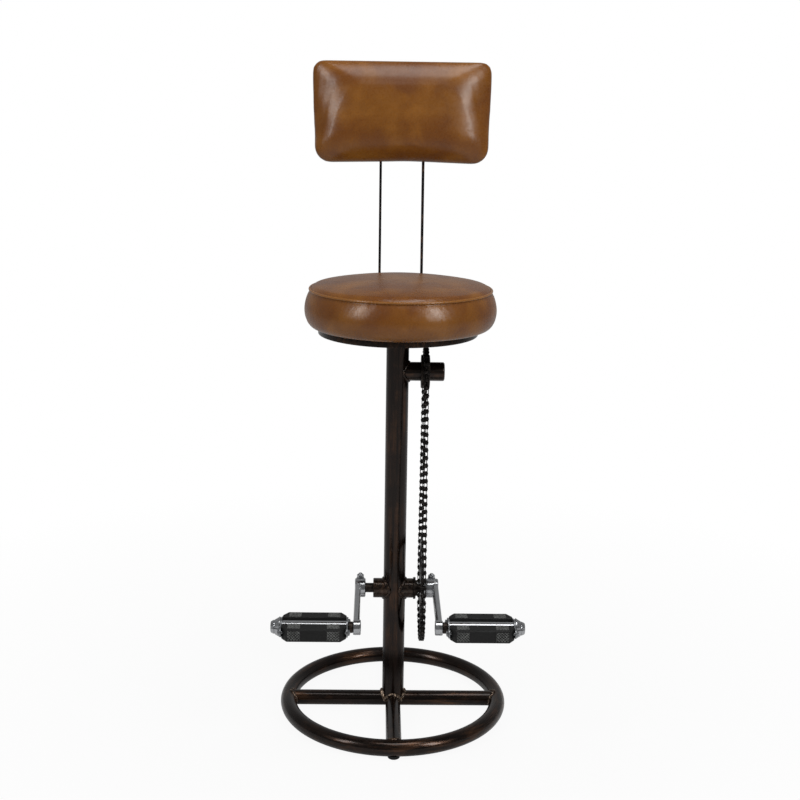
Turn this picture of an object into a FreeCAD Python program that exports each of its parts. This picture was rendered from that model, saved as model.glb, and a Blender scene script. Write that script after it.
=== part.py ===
import FreeCAD, Part
import math
import os
import re

import Sketcher
from FreeCAD import Placement, Rotation, Vector

# Bar stool: padded seat and backrest on one post, ring base, and a footrest of bicycle
# cranks and pedals with its chain. Millimetres, the footrest points to -Y, +Z up, origin
# on the floor under the post. Left is -X and right is +X; the chain is on the right.

doc = FreeCAD.newDocument("BarStool")
sizes = doc.addObject("Spreadsheet::Sheet", "Sizes")
places = doc.addObject("Spreadsheet::Sheet", "Places")
aliases = {}
nodes = []


def fill(sheet, cells):
    """Write one row per size: what it is, its value, and the alias that names it."""
    for row, (alias, content, meaning) in enumerate(cells, 1):
        sheet.set("A%d" % row, meaning)
        sheet.set("B%d" % row, str(content))
        sheet.setAlias("B%d" % row, alias)
        aliases[alias] = "%s.%s" % (sheet.Name, alias)
    doc.recompute()


def link(text):
    """Put the sheet's name before every size that an expression uses."""
    return re.sub(r"[a-z_]+", lambda word: aliases.get(word.group(0), word.group(0)), text)


def size(alias):
    """The number that a cell of either sheet holds."""
    sheet = doc.getObject(aliases[alias].split(".")[0])
    return float(sheet.get(alias))


# Driving sizes, in millimetres, degrees and counts

foot_height = 3.0  # gap between the floor and the base ring
foot_diameter = 20.0  # glide under the ring
foot_grip = 2.5  # how far a glide reaches up the ring
ring_diameter = 361.0  # centre line of the base ring
ring_tube = 26.9  # tube of the base ring
bar_tube = 25.4  # tube of the crossbars
bar_wall = 1.6  # wall of the crossbars
weld_leg = 3.2  # leg of a weld bead
post_diameter = 37.0  # post tube
post_wall = 2.0  # wall of the post tube
pan_height = 672.0  # top face of the seat pan above the floor
pan_diameter = 260.0  # seat pan
pan_plate = 3.0  # thickness of the seat pan's disc
pan_rim = 11.0  # height of the seat pan's rim
pan_rim_wall = 2.0  # thickness of the seat pan's rim
seat_board_diameter = 250.0  # plywood disc in the seat
seat_board_thickness = 12.0  # plywood disc in the seat
seat_diameter = 310.0  # cushion at its widest
seat_swell_height = 28.0  # widest ring of the cushion above the pan
seat_seam_diameter = 295.0  # piped seam of the cushion
seat_seam_height = 55.5  # piped seam above the pan
seat_crown = 24.0  # rise of the cushion's top above the seam
seat_shoulder_diameter = 245.0  # where the cushion's flat dome begins
seat_shoulder_rise = 15.0  # where the dome begins, above the seam
seat_low_bulge = 7.8  # outward swell between the pan and the widest ring
seat_side_bulge = 2.9  # outward swell between the widest ring and the seam
seat_shoulder_bulge = 1.8  # outward swell between the seam and the dome
seat_shift = 3.5  # cushion and its board to the right of the pan's middle
seat_screw_circle = 180.0  # circle of the seat screws
screw_diameter = 4.5  # wood screw
screw_head = 9.0  # head of a wood screw
screw_head_height = 2.6  # head of a wood screw
screw_bite = 9.0  # length of a wood screw in its board
upright_spacing = 73.0  # between the middles of the uprights
upright_shift = 5.5  # middle of the uprights to the right of the post's middle
upright_thickness = 4.2  # uprights across the stool
upright_width = 18.0  # uprights front to back
upright_gap = 3.0  # free gap between cushion and uprights
upright_reach = 45.0  # front end of the uprights' lower legs behind the post's middle
upright_bend = 10.0  # inside radius of the uprights' bend
notch_clearance = 1.5  # uprights' notch inside the pan's rim
recline = 4.5  # lean of the backrest in degrees
back_middle_height = 1008.0  # middle of the backrest above the floor
back_shift = 4.0  # middle of the backrest to the right of the post's middle
back_width = 297.0  # backrest
back_tall = 168.0  # backrest
back_corner = 23.0  # corner radius of the backrest
back_taper = 3.0  # how much each side of the backrest draws in at the bottom
back_bow = 5.0  # how far the backrest's lower edge bows down
back_depth = 47.0  # backrest front to back
back_board_margin = 15.0  # backrest's edge beyond its plywood board
back_board_thickness = 12.0  # plywood board in the backrest
back_board_corner = 18.0  # corner radius of that board
back_plate_width = 116.0  # steel plate behind the backrest
back_plate_tall = 64.0  # steel plate behind the backrest
back_plate_thickness = 3.0  # steel plate behind the backrest
back_plate_corner = 8.0  # corner radius of the steel plate
back_screw_inset = 12.0  # screws inside the steel plate's edges
axle_height = 219.5  # crank axle above the floor
axle_diameter = 16.0  # crank axle
shell_diameter = 33.0  # bracket shell
shell_wall = 3.0  # wall of the bracket shell
shell_length = 68.0  # bracket shell
shell_left = 36.0  # left end of the shell from the post's middle
cup_length = 14.0  # bearing cup inside the shell
cup_stand_out = 3.0  # bearing cup beyond the lock ring
lock_ring_diameter = 37.0  # lock ring
lock_ring_width = 4.0  # lock ring
hook_slot = 4.0  # hook spanner slot in the lock ring
hook_slot_depth = 1.2  # hook spanner slot in the lock ring
left_crank_face = 67.0  # outer face of the left crank from the post's middle
right_crank_face = 74.5  # outer face of the right crank from the post's middle
left_boss_width = 18.0  # boss of the left crank
right_boss_width = 22.0  # boss of the right crank
boss_diameter = 32.0  # crank boss on the axle
neck_diameter = 26.0  # right crank between its boss and the chainring
spigot_diameter = 22.0  # right crank inside the chainring
crank_length = 170.0  # axle to pedal spindle
arm_thickness = 10.0  # crank arm across the stool
arm_root = 25.0  # height of the crank arm at the axle
arm_tip = 19.0  # height of the crank arm at the pedal
arm_edge = 2.5  # rounded edges of the crank arm
eye_diameter = 24.0  # pedal eye of the crank
eye_width = 12.0  # pedal eye of the crank
axle_set_back = 0.8  # ends of the axle inside the cranks' outer faces
cotter_diameter = 9.5  # cotter pin
cotter_offset = 9.6  # middle of the cotter pin behind the axle's middle
cotter_flat = 1.8  # depth of the axle's notch for the cotter pin
cotter_lug = 13.6  # half height of the boss's lugs around the cotter pin
cotter_lug_wall = 2.5  # wall of the lugs round the cotter pin
cotter_tail = 6.0  # cotter pin below its lug
cotter_thread = 6.4  # threaded end of the cotter pin
cotter_nut_height = 5.6  # nut of the cotter pin
cotter_nut_flats = 10.0  # nut of the cotter pin across its flats
cotter_thread_out = 2.1  # cotter pin beyond its nut
cotter_washer = 12.5  # washer of the cotter pin
cotter_washer_height = 1.4  # washer of the cotter pin
spot_face_play = 0.5  # flat for the washer, round the washer
chain_pitch = 12.7  # roller chain
chain_middle = 46.3  # plane of the chain from the post's middle
chain_centres = 378.0  # axle to freewheel before the chain is closed
chainring_teeth = 42  # chainring
freewheel_teeth = 18  # freewheel
sprocket_thickness = 2.6  # chainring and freewheel teeth
tooth_rise = 3.4  # tooth beyond the pitch circle
tooth_gap_clearance = 0.15  # play of a roller between two teeth
gap_floor = 0.45  # half floor of a tooth gap, as a share of its seat's radius
gap_flank = 1.04  # half width of a gap at its knee, as a share of its seat's radius
gap_knee = 0.3  # knee of a gap under the pitch circle, as a share of its seat's radius
gap_mouth = 0.41  # half mouth of a gap, as a share of the pitch
roller_diameter = 7.75  # roller of the chain
inner_width = 3.3  # room between the chain's inner plates
link_plate = 1.2  # thickness of the chain's plates
link_height = 8.4  # height of the chain's plates
link_waist = 6.0  # height of the chain's plates between two pins
link_clearance = 0.05  # play between inner and outer plates
pin_diameter = 3.8  # pin of the chain
pin_head = 0.8  # pin beyond the outer plate
rim_width = 14.0  # solid rim of the chainring inside the pitch circle
spider_hub = 42.0  # hub of the chainring
spider_arm = 13.0  # arm of the chainring
spider_arms = 5  # arms of the chainring
stub_diameter = 31.0  # stub that carries the freewheel
stub_reach = 77.0  # end of the stub from the post's middle
stub_edge = 3.0  # rounded end of the stub
freewheel_diameter = 55.0  # freewheel body
freewheel_inner = 7.8  # freewheel body on the post's side of the chain plane
freewheel_outer = 6.4  # freewheel body on the far side of the chain plane
cover_groove_out = 47.0  # groove round the freewheel's cover
cover_groove_in = 44.0  # groove round the freewheel's cover
cover_groove_depth = 1.0  # groove round the freewheel's cover
pin_hole = 2.4  # pin spanner hole of the freewheel's cover
pin_hole_depth = 2.0  # pin spanner hole of the freewheel's cover
spindle_diameter = 12.0  # pedal spindle
spindle_thread = 14.2  # pedal spindle in the crank's eye
collar_length = 8.0  # pedal spindle between crank and pedal
collar_diameter = 18.0  # pedal spindle between crank and pedal
collar_flats = 15.0  # wrench flats of the spindle's collar
run_clearance = 0.05  # round the pedal spindle in its bushes
end_clearance = 0.3  # beside a turning pedal
barrel_diameter = 20.0  # middle tube of the pedal
barrel_wall = 2.0  # middle tube of the pedal
bush_length = 12.0  # bush in the pedal's middle tube
block_length = 101.5  # rubber block of the pedal
block_start = 13.0  # near face of a block from the spindle's middle
pedal_depth = 71.0  # pedal front to back
block_thickness = 21.6  # rubber block
block_cut_along = 9.0  # slanted end of a block, along the spindle
block_cut_across = 14.0  # slanted end of a block, front to back
block_edge = 2.0  # chamfer along a block
end_plate_thickness = 2.5  # end plate of the pedal
end_plate_height = 15.0  # end plate of the pedal
end_plate_hub = 29.0  # round middle of the pedal's end plate
rod_spacing = 22.0  # rod of a block from the spindle's middle
rod_diameter = 5.0  # rod through a block
rod_nut_flats = 8.0  # nut of a block's rod
rod_nut_height = 3.0  # nut of a block's rod
rod_stand_out = 0.6  # rod of a block beyond its nut
spindle_nut_flats = 17.0  # nut at the spindle's far end
spindle_nut_height = 5.0  # nut at the spindle's far end
spindle_stand_out = 1.0  # spindle beyond its nut
cap_base = 32.0  # dust cap at the pedal
cap_tip = 17.0  # dust cap at its end
cap_length = 15.5  # dust cap
cap_wall = 1.2  # dust cap

# Every size named above is a cell of the first sheet
driving = [(name, value, name.replace("_", " ")) for name, value in list(globals().items()) if type(value) in (int, float)]
fill(sizes, driving)


# Chain route: rollers on the two pitch circles, joined by straight runs of whole links


def chain_route():
    """Roller centres (y, z) seen from the axle, and the centre distance that closes them.

    Both sprockets carry a whole number of links placed evenly about the vertical, so
    every roller sits in a tooth gap; the centre distance follows from the straight run.
    """
    pitch = size("chain_pitch")
    low_step = 2 * math.pi / size("chainring_teeth")
    top_step = 2 * math.pi / size("freewheel_teeth")
    low_radius = pitch / 2 / math.sin(low_step / 2)
    top_radius = pitch / 2 / math.sin(top_step / 2)
    lean = math.asin((low_radius - top_radius) / size("chain_centres"))
    top_links = int((math.pi - 2 * lean) / top_step)
    low_links = int((math.pi + 2 * lean) / low_step)
    low_links -= (top_links + low_links) % 2
    top_turn = top_links * top_step / 2
    low_turn = low_links * low_step / 2
    top_end = (top_radius * math.sin(top_turn), top_radius * math.cos(top_turn))
    low_end = (low_radius * math.sin(low_turn), -low_radius * math.cos(low_turn))
    across = low_end[0] - top_end[0]
    drop = size("chain_centres") + top_end[1] - low_end[1]
    run_links = round(math.hypot(across, drop) / pitch)
    down = math.sqrt((run_links * pitch) ** 2 - across ** 2)
    centres = down + low_end[1] - top_end[1]
    route = []
    for step in range(top_links):
        turn = -top_turn + step * top_step
        route.append((top_radius * math.sin(turn), centres + top_radius * math.cos(turn)))
    for step in range(run_links):
        share = step / run_links
        route.append((top_end[0] + share * across, centres + top_end[1] - share * down))
    for step in range(low_links):
        turn = low_turn - step * low_step
        route.append((low_radius * math.sin(turn), -low_radius * math.cos(turn)))
    for step in range(run_links):
        share = step / run_links
        route.append((-low_end[0] + share * across, low_end[1] + share * down))
    return route, centres, top_links, low_links


route, centres, top_links, low_links = chain_route()

# Sizes that follow from the driving ones

fill(places, [
    ("ring_height", "=Sizes.foot_height + Sizes.ring_tube / 2", "middle of the base tubes"),
    ("pan_under", "=Sizes.pan_height - Sizes.pan_plate", "underside of the pan's disc"),
    ("rim_under", "=Sizes.pan_height - Sizes.pan_rim", "lower edge of the pan's rim"),
    ("stub_height", "=Sizes.axle_height + %.9f" % centres, "stub and freewheel"),
    ("upright_front", "=Sizes.seat_diameter / 2 + Sizes.upright_gap", "uprights at the pan"),
    ("low_pitch", "=Sizes.chain_pitch / 2 / sin(180 deg / Sizes.chainring_teeth)", "radius"),
    ("top_pitch", "=Sizes.chain_pitch / 2 / sin(180 deg / Sizes.freewheel_teeth)", "radius"),
    ("shell_right", "=Sizes.shell_length - Sizes.shell_left", "right end of the shell"),
    ("block_near", "=Sizes.collar_length + Sizes.end_plate_thickness", "block's end at the crank"),
    ("block_far", "=Places.block_near + Sizes.block_length", "block's far end"),
    ("pedal_far", "=Places.block_far + Sizes.end_plate_thickness", "outer face of the far plate"),
])


def keep(thing, label):
    """Name a finished sub-part; the label is also its file's name."""
    thing.Label = label
    nodes.append(thing)
    return thing


def bind(thing, **expressions):
    """Tie properties to sizes."""
    for name, text in expressions.items():
        thing.setExpression(name, link(text))


def place(thing, x="0", y="0", z="0", rotation=None):
    """Put a piece at a place given in sizes."""
    if rotation is not None:
        thing.Placement = Placement(Vector(), rotation)
    for axis, text in zip("xyz", (x, y, z)):
        if text != "0":
            thing.setExpression("Placement.Base." + axis, link(text))
    return thing


TURNS = {
    "X": Rotation(Vector(0, 1, 0), 90),
    "-X": Rotation(Vector(0, 1, 0), -90),
    "Y": Rotation(Vector(1, 0, 0), -90),
    "-Y": Rotation(Vector(1, 0, 0), 90),
    "Z": Rotation(),
    "-Z": Rotation(Vector(1, 0, 0), 180),
}


def cylinder(name, diameter, length, along="Z", x="0", y="0", z="0"):
    rod = doc.addObject("Part::Cylinder", name)
    bind(rod, Radius="(%s) / 2" % diameter, Height=length)
    return place(rod, x, y, z, TURNS[along])


def cone(name, start, end, length, along="Z", x="0", y="0", z="0"):
    frustum = doc.addObject("Part::Cone", name)
    bind(frustum, Radius1="(%s) / 2" % start, Radius2="(%s) / 2" % end, Height=length)
    return place(frustum, x, y, z, TURNS[along])


def prism(name, flats, length, along="Z", x="0", y="0", z="0"):
    """A hexagonal prism given across its flats."""
    nut = doc.addObject("Part::Prism", name)
    nut.Polygon = 6
    bind(nut, Circumradius="(%s) / sqrt(3)" % flats, Height=length)
    return place(nut, x, y, z, TURNS[along])


def box(name, length, width, height, x="0", y="0", z="0"):
    block = doc.addObject("Part::Box", name)
    bind(block, Length=length, Width=width, Height=height)
    return place(block, x, y, z)


def cut(name, base, *tools):
    """Base without the tools."""
    for index, tool in enumerate(tools, 1):
        step = "" if index == len(tools) else "_cut_%d" % index
        result = doc.addObject("Part::Cut", name + step)
        result.Base = base
        result.Tool = tool
        base = result
    return base


def fuse(name, *shapes):
    whole = doc.addObject("Part::MultiFuse", name)
    whole.Shapes = list(shapes)
    whole.Refine = True
    return whole


def gather(name, *shapes):
    """Several loose pieces of one kind in one sub-part."""
    group = doc.addObject("Part::Compound", name)
    group.Links = list(shapes)
    return group


def sketch_on(body, role, name):
    """A sketch on one of the body's own planes."""
    drawing = body.newObject("Sketcher::SketchObject", name)
    plane = [part for part in body.Origin.OriginFeatures if part.Role == role][0]
    drawing.AttachmentSupport = (plane, [""])
    drawing.MapMode = "FlatFace"
    return drawing


def draw_outline(drawing, corners):
    """A closed outline of straight lines whose corners are tied to sizes."""
    first = drawing.GeometryCount
    count = len(corners)
    circle = [(math.cos(2 * math.pi * i / count), math.sin(2 * math.pi * i / count)) for i in range(count)]
    for index in range(count):
        start = Vector(*circle[index], 0) * 10
        end = Vector(*circle[(index + 1) % count], 0) * 10
        drawing.addGeometry(Part.LineSegment(start, end), False)
    for index in range(count):
        after = first + (index + 1) % count
        drawing.addConstraint(Sketcher.Constraint("Coincident", first + index, 2, after, 1))
    for index, corner in enumerate(corners):
        for kind, axis, text in zip(("DistanceX", "DistanceY"), (-2, -1), corner):
            if text == "0":
                drawing.addConstraint(Sketcher.Constraint("PointOnObject", first + index, 1, axis))
                continue
            where = drawing.addConstraint(Sketcher.Constraint(kind, -1, 1, first + index, 1, 1.0))
            drawing.setExpression("Constraints[%d]" % where, link(text))


def draw_circle(drawing, diameter):
    """A circle about the sketch's origin."""
    index = drawing.addGeometry(Part.Circle(Vector(), Vector(0, 0, 1), 5.0), False)
    drawing.addConstraint(Sketcher.Constraint("Coincident", index, 3, -1, 1))
    where = drawing.addConstraint(Sketcher.Constraint("Diameter", index, 10.0))
    drawing.setExpression("Constraints[%d]" % where, link(diameter))


def pad(body, drawing, name, length):
    feature = body.newObject("PartDesign::Pad", name)
    feature.Profile = drawing
    bind(feature, Length=length)
    body.Tip = feature
    return feature


def pocket(body, drawing, name):
    """Cut a sketch right through; the cutter runs both ways from the sketch's plane."""
    feature = body.newObject("PartDesign::Pocket", name)
    feature.Profile = drawing
    feature.Type = "ThroughAll"
    feature.Reversed = True
    return feature


def pattern(body, feature, drawing, name, count):
    copies = body.newObject("PartDesign::PolarPattern", name)
    copies.Originals = [feature]
    copies.Axis = (drawing, ["N_Axis"])
    copies.Angle = 360
    bind(copies, Occurrences=count)
    body.Tip = copies
    return copies


def straight_edges(shape, direction, shortest):
    """Names of the straight edges that run along a direction."""
    names = []
    for index, edge in enumerate(shape.Edges, 1):
        if edge.Curve.TypeId != "Part::GeomLine" or edge.Length < shortest:
            continue
        run = (edge.Vertexes[-1].Point - edge.Vertexes[0].Point).normalize()
        if abs(run.dot(direction)) > 0.99:
            names.append("Edge%d" % index)
    return names


# Base: a ring of bent tube and three crossbars welded into it


def base_ring():
    """A bent tube closed to a ring, whose joint lies between two crossbars."""
    ring = doc.addObject("Part::Torus", "BaseRing")
    bind(ring, Radius1="ring_diameter / 2", Radius2="ring_tube / 2")
    joint_turn = Rotation(Vector(0, 0, 1), 45)
    return keep(place(ring, z="ring_height", rotation=joint_turn), "base_ring")


def crossbar(name, along, start_x, length, hosts):
    """A tube coped to what it meets."""
    bore = "bar_tube - 2 * bar_wall"
    solid = cylinder(name + "_solid", "bar_tube", length, along, x=start_x, z="ring_height")
    hollow = cylinder(name + "_bore", bore, length, along, x=start_x, z="ring_height")
    tube = cut(name + "_tube", solid, hollow, *hosts)
    return solid, keep(tube, name)


def glides(hosts):
    """Four rubber glides that cup the underside of the ring and the bars' ends."""
    pucks = []
    feet = []
    for name, x, y in (
        ("front", "0", "-ring_diameter / 2"),
        ("rear", "0", "ring_diameter / 2"),
        ("left", "-ring_diameter / 2", "0"),
        ("right", "ring_diameter / 2", "0"),
    ):
        puck = cylinder("glide_" + name, "foot_diameter", "foot_height + foot_grip", x=x, y=y)
        pucks.append(puck)
        feet.append(cut("foot_" + name, puck, *hosts))
    keep(gather("glides", *feet), "glides")
    return pucks


def bead(name, collar, host, less):
    """A weld bead: the part of a collar round a tube that lies close to its host."""
    close = doc.addObject("Part::Common", name + "_close")
    close.Base = collar
    close.Tool = host
    return cut(name, close, *less)


ring = base_ring()
side_solid, side_bar = crossbar("side_crossbar", "X", "-ring_diameter / 2", "ring_diameter", [ring])
front_solid, front_bar = crossbar("front_crossbar", "-Y", "0", "ring_diameter / 2", [ring, side_solid])
rear_solid, rear_bar = crossbar("rear_crossbar", "Y", "0", "ring_diameter / 2", [ring, side_solid])
pucks = glides([ring, side_solid, front_solid, rear_solid])

near_ring = doc.addObject("Part::Torus", "near_ring")
bind(near_ring, Radius1="ring_diameter / 2", Radius2="ring_tube / 2 + weld_leg")
place(near_ring, z="ring_height")
collar_width = "bar_tube + 2 * weld_leg"
collar_run = "(ring_tube / 2 + 2 * weld_leg)"
collar_start = "(ring_diameter / 2 - %s)" % collar_run
crossbar_beads = []
for name, along, x, y, bar in (
    ("bead_right", "X", collar_start, "0", side_solid),
    ("bead_left", "-X", "-" + collar_start, "0", side_solid),
    ("bead_front", "-Y", "0", "-" + collar_start, front_solid),
    ("bead_rear", "Y", "0", collar_start, rear_solid),
):
    collar = cylinder(name + "_collar", collar_width, collar_run, along, x, y, "ring_height")
    crossbar_beads.append(bead(name, collar, near_ring, [ring, bar] + pucks))
keep(gather("base_welds", *crossbar_beads), "base_welds")


# Post, with the bracket shell through it and the stub near its top


def post_tube():
    """The post stands astride the crossbars and ends under the seat pan."""
    tall = "pan_under - ring_height"
    outer = cylinder("post_solid", "post_diameter", tall, z="ring_height")
    inner = cylinder("post_bore", "post_diameter - 2 * post_wall", tall, z="ring_height")
    return outer, inner


post_solid, post_bore = post_tube()
shell_solid = cylinder("shell_solid", "shell_diameter", "shell_length", "X", x="-shell_left", z="axle_height")
keep(cut("post", post_solid, post_bore, side_solid, front_solid, rear_solid, shell_solid), "post")

stub_solid = cylinder("stub_solid", "stub_diameter", "stub_reach", "X", z="stub_height")
stub_coped = cut("stub_coped", stub_solid, post_solid)
doc.recompute()
stub = doc.addObject("Part::Fillet", "stub")
stub.Base = stub_coped
stub_end = [
    index
    for index, edge in enumerate(stub_coped.Shape.Edges, 1)
    if edge.Closed and edge.BoundBox.XMin > size("stub_reach") - 0.01
]
stub.Edges = [(index, size("stub_edge"), size("stub_edge")) for index in stub_end]
keep(stub, "chain_stub")

shell_bore = cylinder(
    "shell_bore", "shell_diameter - 2 * shell_wall", "shell_length", "X", x="-shell_left", z="axle_height"
)
keep(cut("shell", shell_solid, shell_bore), "bracket_shell")

foot_bead = cone(
    "bead_foot_cone", "post_diameter", "post_diameter + 2 * weld_leg", "1.4 * weld_leg", "-Z",
    z="ring_height + bar_tube / 2 + weld_leg",
)
post_beads = [cut("bead_foot", foot_bead, post_solid, side_solid, front_solid, rear_solid)]
for name, tube, along, z, solid in (
    ("bead_stub", "stub_diameter", "X", "stub_height", stub_solid),
    ("bead_shell_right", "shell_diameter", "X", "axle_height", shell_solid),
    ("bead_shell_left", "shell_diameter", "-X", "axle_height", shell_solid),
):
    near_post = cylinder(
        name + "_near", "post_diameter + 2 * weld_leg", tube + " + 4 * weld_leg",
        z="%s - %s / 2 - 2 * weld_leg" % (z, tube),
    )
    collar = cylinder(name + "_collar", tube + " + 2 * weld_leg", "post_diameter / 2 + 2 * weld_leg", along, z=z)
    post_beads.append(bead(name, collar, near_post, [post_solid, solid]))
keep(gather("post_welds", *post_beads), "post_welds")


# Bottom bracket: two cups, the lock ring and the notched axle

axle_bore = "axle_diameter + 2 * run_clearance"
cup_diameter = "shell_diameter - 2 * shell_wall"
left_cup = cut(
    "left_cup_ring",
    cylinder("left_cup_solid", cup_diameter, "cup_length", "X", x="-shell_left", z="axle_height"),
    cylinder("left_cup_bore", axle_bore, "cup_length", "X", x="-shell_left", z="axle_height"),
)
keep(left_cup, "left_bearing_cup")

cup_start = "shell_right - cup_length"
cup_full = "cup_length + lock_ring_width + cup_stand_out"
right_cup = cut(
    "right_cup_ring",
    cylinder("right_cup_solid", cup_diameter, cup_full, "X", x=cup_start, z="axle_height"),
    cylinder("right_cup_bore", axle_bore, cup_full, "X", x=cup_start, z="axle_height"),
)
keep(right_cup, "right_bearing_cup")


def lock_ring():
    """A ring with four hook spanner slots in its rim."""
    plain = cylinder("lock_ring_disc", "lock_ring_diameter", "lock_ring_width", "X", x="shell_right", z="axle_height")
    hole = cylinder("lock_ring_bore", cup_diameter, "lock_ring_width", "X", x="shell_right", z="axle_height")
    slots = []
    for turn in (45, 135, 225, 315):
        slot = doc.addObject("Part::Box", "lock_ring_slot")
        bind(slot, Length="lock_ring_width", Width="hook_slot", Height="hook_slot")
        slot.Placement = Placement(Vector(), Rotation(Vector(1, 0, 0), turn))
        reach = "(lock_ring_diameter / 2 - hook_slot_depth)"
        bind(slot, **{
            "Placement.Base.x": "shell_right",
            "Placement.Base.y": "-hook_slot / 2 * cos(%d deg) - %s * sin(%d deg)" % (turn, reach, turn),
            "Placement.Base.z": "axle_height - hook_slot / 2 * sin(%d deg) + %s * cos(%d deg)" % (turn, reach, turn),
        })
        slots.append(slot)
    return keep(cut("lock_ring", plain, hole, *slots), "lock_ring")


lock_ring()


# Cranks, each wedged on the axle's flat by a cotter pin


def cotter(side, middle):
    """Cotter pin with its flat against the axle, washer and nut on top."""
    y = "cotter_offset"
    foot = "axle_height - cotter_lug - cotter_tail"
    neck = "axle_height + cotter_lug"
    pin_length = "2 * cotter_lug + cotter_tail"
    shank = cylinder(side + "_cotter_shank", "cotter_diameter", pin_length, x=middle, y=y, z=foot)
    flat = box(
        side + "_cotter_flat", "2 * cotter_diameter", "cotter_diameter", pin_length,
        x="(%s) - cotter_diameter" % middle,
        y="axle_diameter / 2 - cotter_flat - cotter_diameter",
        z=foot,
    )
    thread_length = "cotter_washer_height + cotter_nut_height + cotter_thread_out"
    thread = cylinder(side + "_cotter_thread", "cotter_thread", thread_length, x=middle, y=y, z=neck)
    pin = keep(fuse(side + "_cotter", cut(side + "_cotter_wedge", shank, flat), thread), side + "_cotter_pin")
    washer = cylinder(side + "_washer", "cotter_washer", "cotter_washer_height", x=middle, y=y, z=neck)
    nut_z = neck + " + cotter_washer_height"
    nut = prism(side + "_nut", "cotter_nut_flats", "cotter_nut_height", x=middle, y=y, z=nut_z)
    keep(cut(side + "_cotter_nut", fuse(side + "_nut_stack", washer, nut), thread), side + "_cotter_nut")
    return shank


def crank_arm(side, x):
    """The arm: a tapered bar with rounded edges, drawn from the side."""
    body = doc.addObject("PartDesign::Body", side + "_arm")
    outline = sketch_on(body, "YZ_Plane", side + "_arm_outline")
    draw_outline(outline, [
        ("0", "-arm_root / 2"),
        ("0", "arm_root / 2"),
        ("-crank_length", "arm_tip / 2"),
        ("-crank_length", "-arm_tip / 2"),
    ])
    bar = pad(body, outline, side + "_arm_bar", "arm_thickness")
    doc.recompute()
    long_edges = [
        "Edge%d" % index
        for index, edge in enumerate(bar.Shape.Edges, 1)
        if edge.Length > size("crank_length") - 1
    ]
    round_edges = body.newObject("PartDesign::Fillet", side + "_arm_edges")
    round_edges.Base = (bar, long_edges)
    bind(round_edges, Radius="arm_edge")
    body.Tip = round_edges
    place(body, x=x, z="axle_height")
    return body


def crank(side, inner_x, arm_x, eye_x, boss_width, extras):
    """Boss, arm and pedal eye in one forging, bored for axle, cotter and spindle."""
    boss = cylinder(side + "_boss", "boss_diameter", boss_width, "X", x=inner_x, z="axle_height")
    middle = "(%s) + (%s) / 2" % (inner_x, boss_width)
    lug = cylinder(
        side + "_lug", "cotter_diameter + 2 * cotter_lug_wall", "2 * cotter_lug", x=middle,
        y="cotter_offset", z="axle_height - cotter_lug",
    )
    eye = cylinder(side + "_eye", "eye_diameter", "eye_width", "X", x=eye_x, y="-crank_length", z="axle_height")
    forging = fuse(side + "_forging", boss, lug, crank_arm(side, arm_x), eye, *extras)
    shank = cotter(side, middle)
    thread = cylinder(
        side + "_eye_thread", "spindle_thread", "eye_width", "X", x=eye_x, y="-crank_length", z="axle_height"
    )
    bore = cylinder(
        side + "_boss_bore", "axle_diameter", "left_crank_face + right_crank_face", "X",
        x="-left_crank_face", z="axle_height",
    )
    spot_face = cylinder(
        side + "_spot_face", "cotter_washer + 2 * spot_face_play", "boss_diameter", x=middle, y="cotter_offset",
        z="axle_height + cotter_lug",
    )
    keep(cut(side + "_crank", forging, bore, shank, thread, spot_face), side + "_crank")
    return middle


left_middle = crank(
    "left", "-left_crank_face", "-left_crank_face", "-left_crank_face", "left_boss_width", []
)
chainring_start = "(chain_middle - sprocket_thickness / 2)"
chainring_end = "(chain_middle + sprocket_thickness / 2)"
right_start = "(right_crank_face - right_boss_width)"
neck = cylinder(
    "right_neck", "neck_diameter", "%s - %s" % (right_start, chainring_end), "X", x=chainring_end, z="axle_height"
)
spigot = cylinder(
    "right_spigot", "spigot_diameter", "%s - %s" % (right_start, chainring_start), "X",
    x=chainring_start, z="axle_height",
)
right_middle = crank(
    "right", right_start, "right_crank_face - arm_thickness", "right_crank_face - eye_width",
    "right_boss_width", [neck, spigot],
)


def axle():
    """Round bar with a flat notch under each cotter pin."""
    bar = cylinder(
        "axle_bar", "axle_diameter", "left_crank_face + right_crank_face - 2 * axle_set_back", "X",
        x="axle_set_back - left_crank_face", z="axle_height",
    )
    notches = []
    for side, middle in (("left", left_middle), ("right", right_middle)):
        notches.append(box(
            side + "_notch", "cotter_diameter", "axle_diameter", "axle_diameter",
            x="(%s) - cotter_diameter / 2" % middle,
            y="axle_diameter / 2 - cotter_flat",
            z="axle_height - axle_diameter / 2",
        ))
    return keep(cut("axle", bar, *notches), "crank_axle")


axle()


# Sprockets: a disc with one gap cut out and patterned, so a roller sits in every gap


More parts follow.
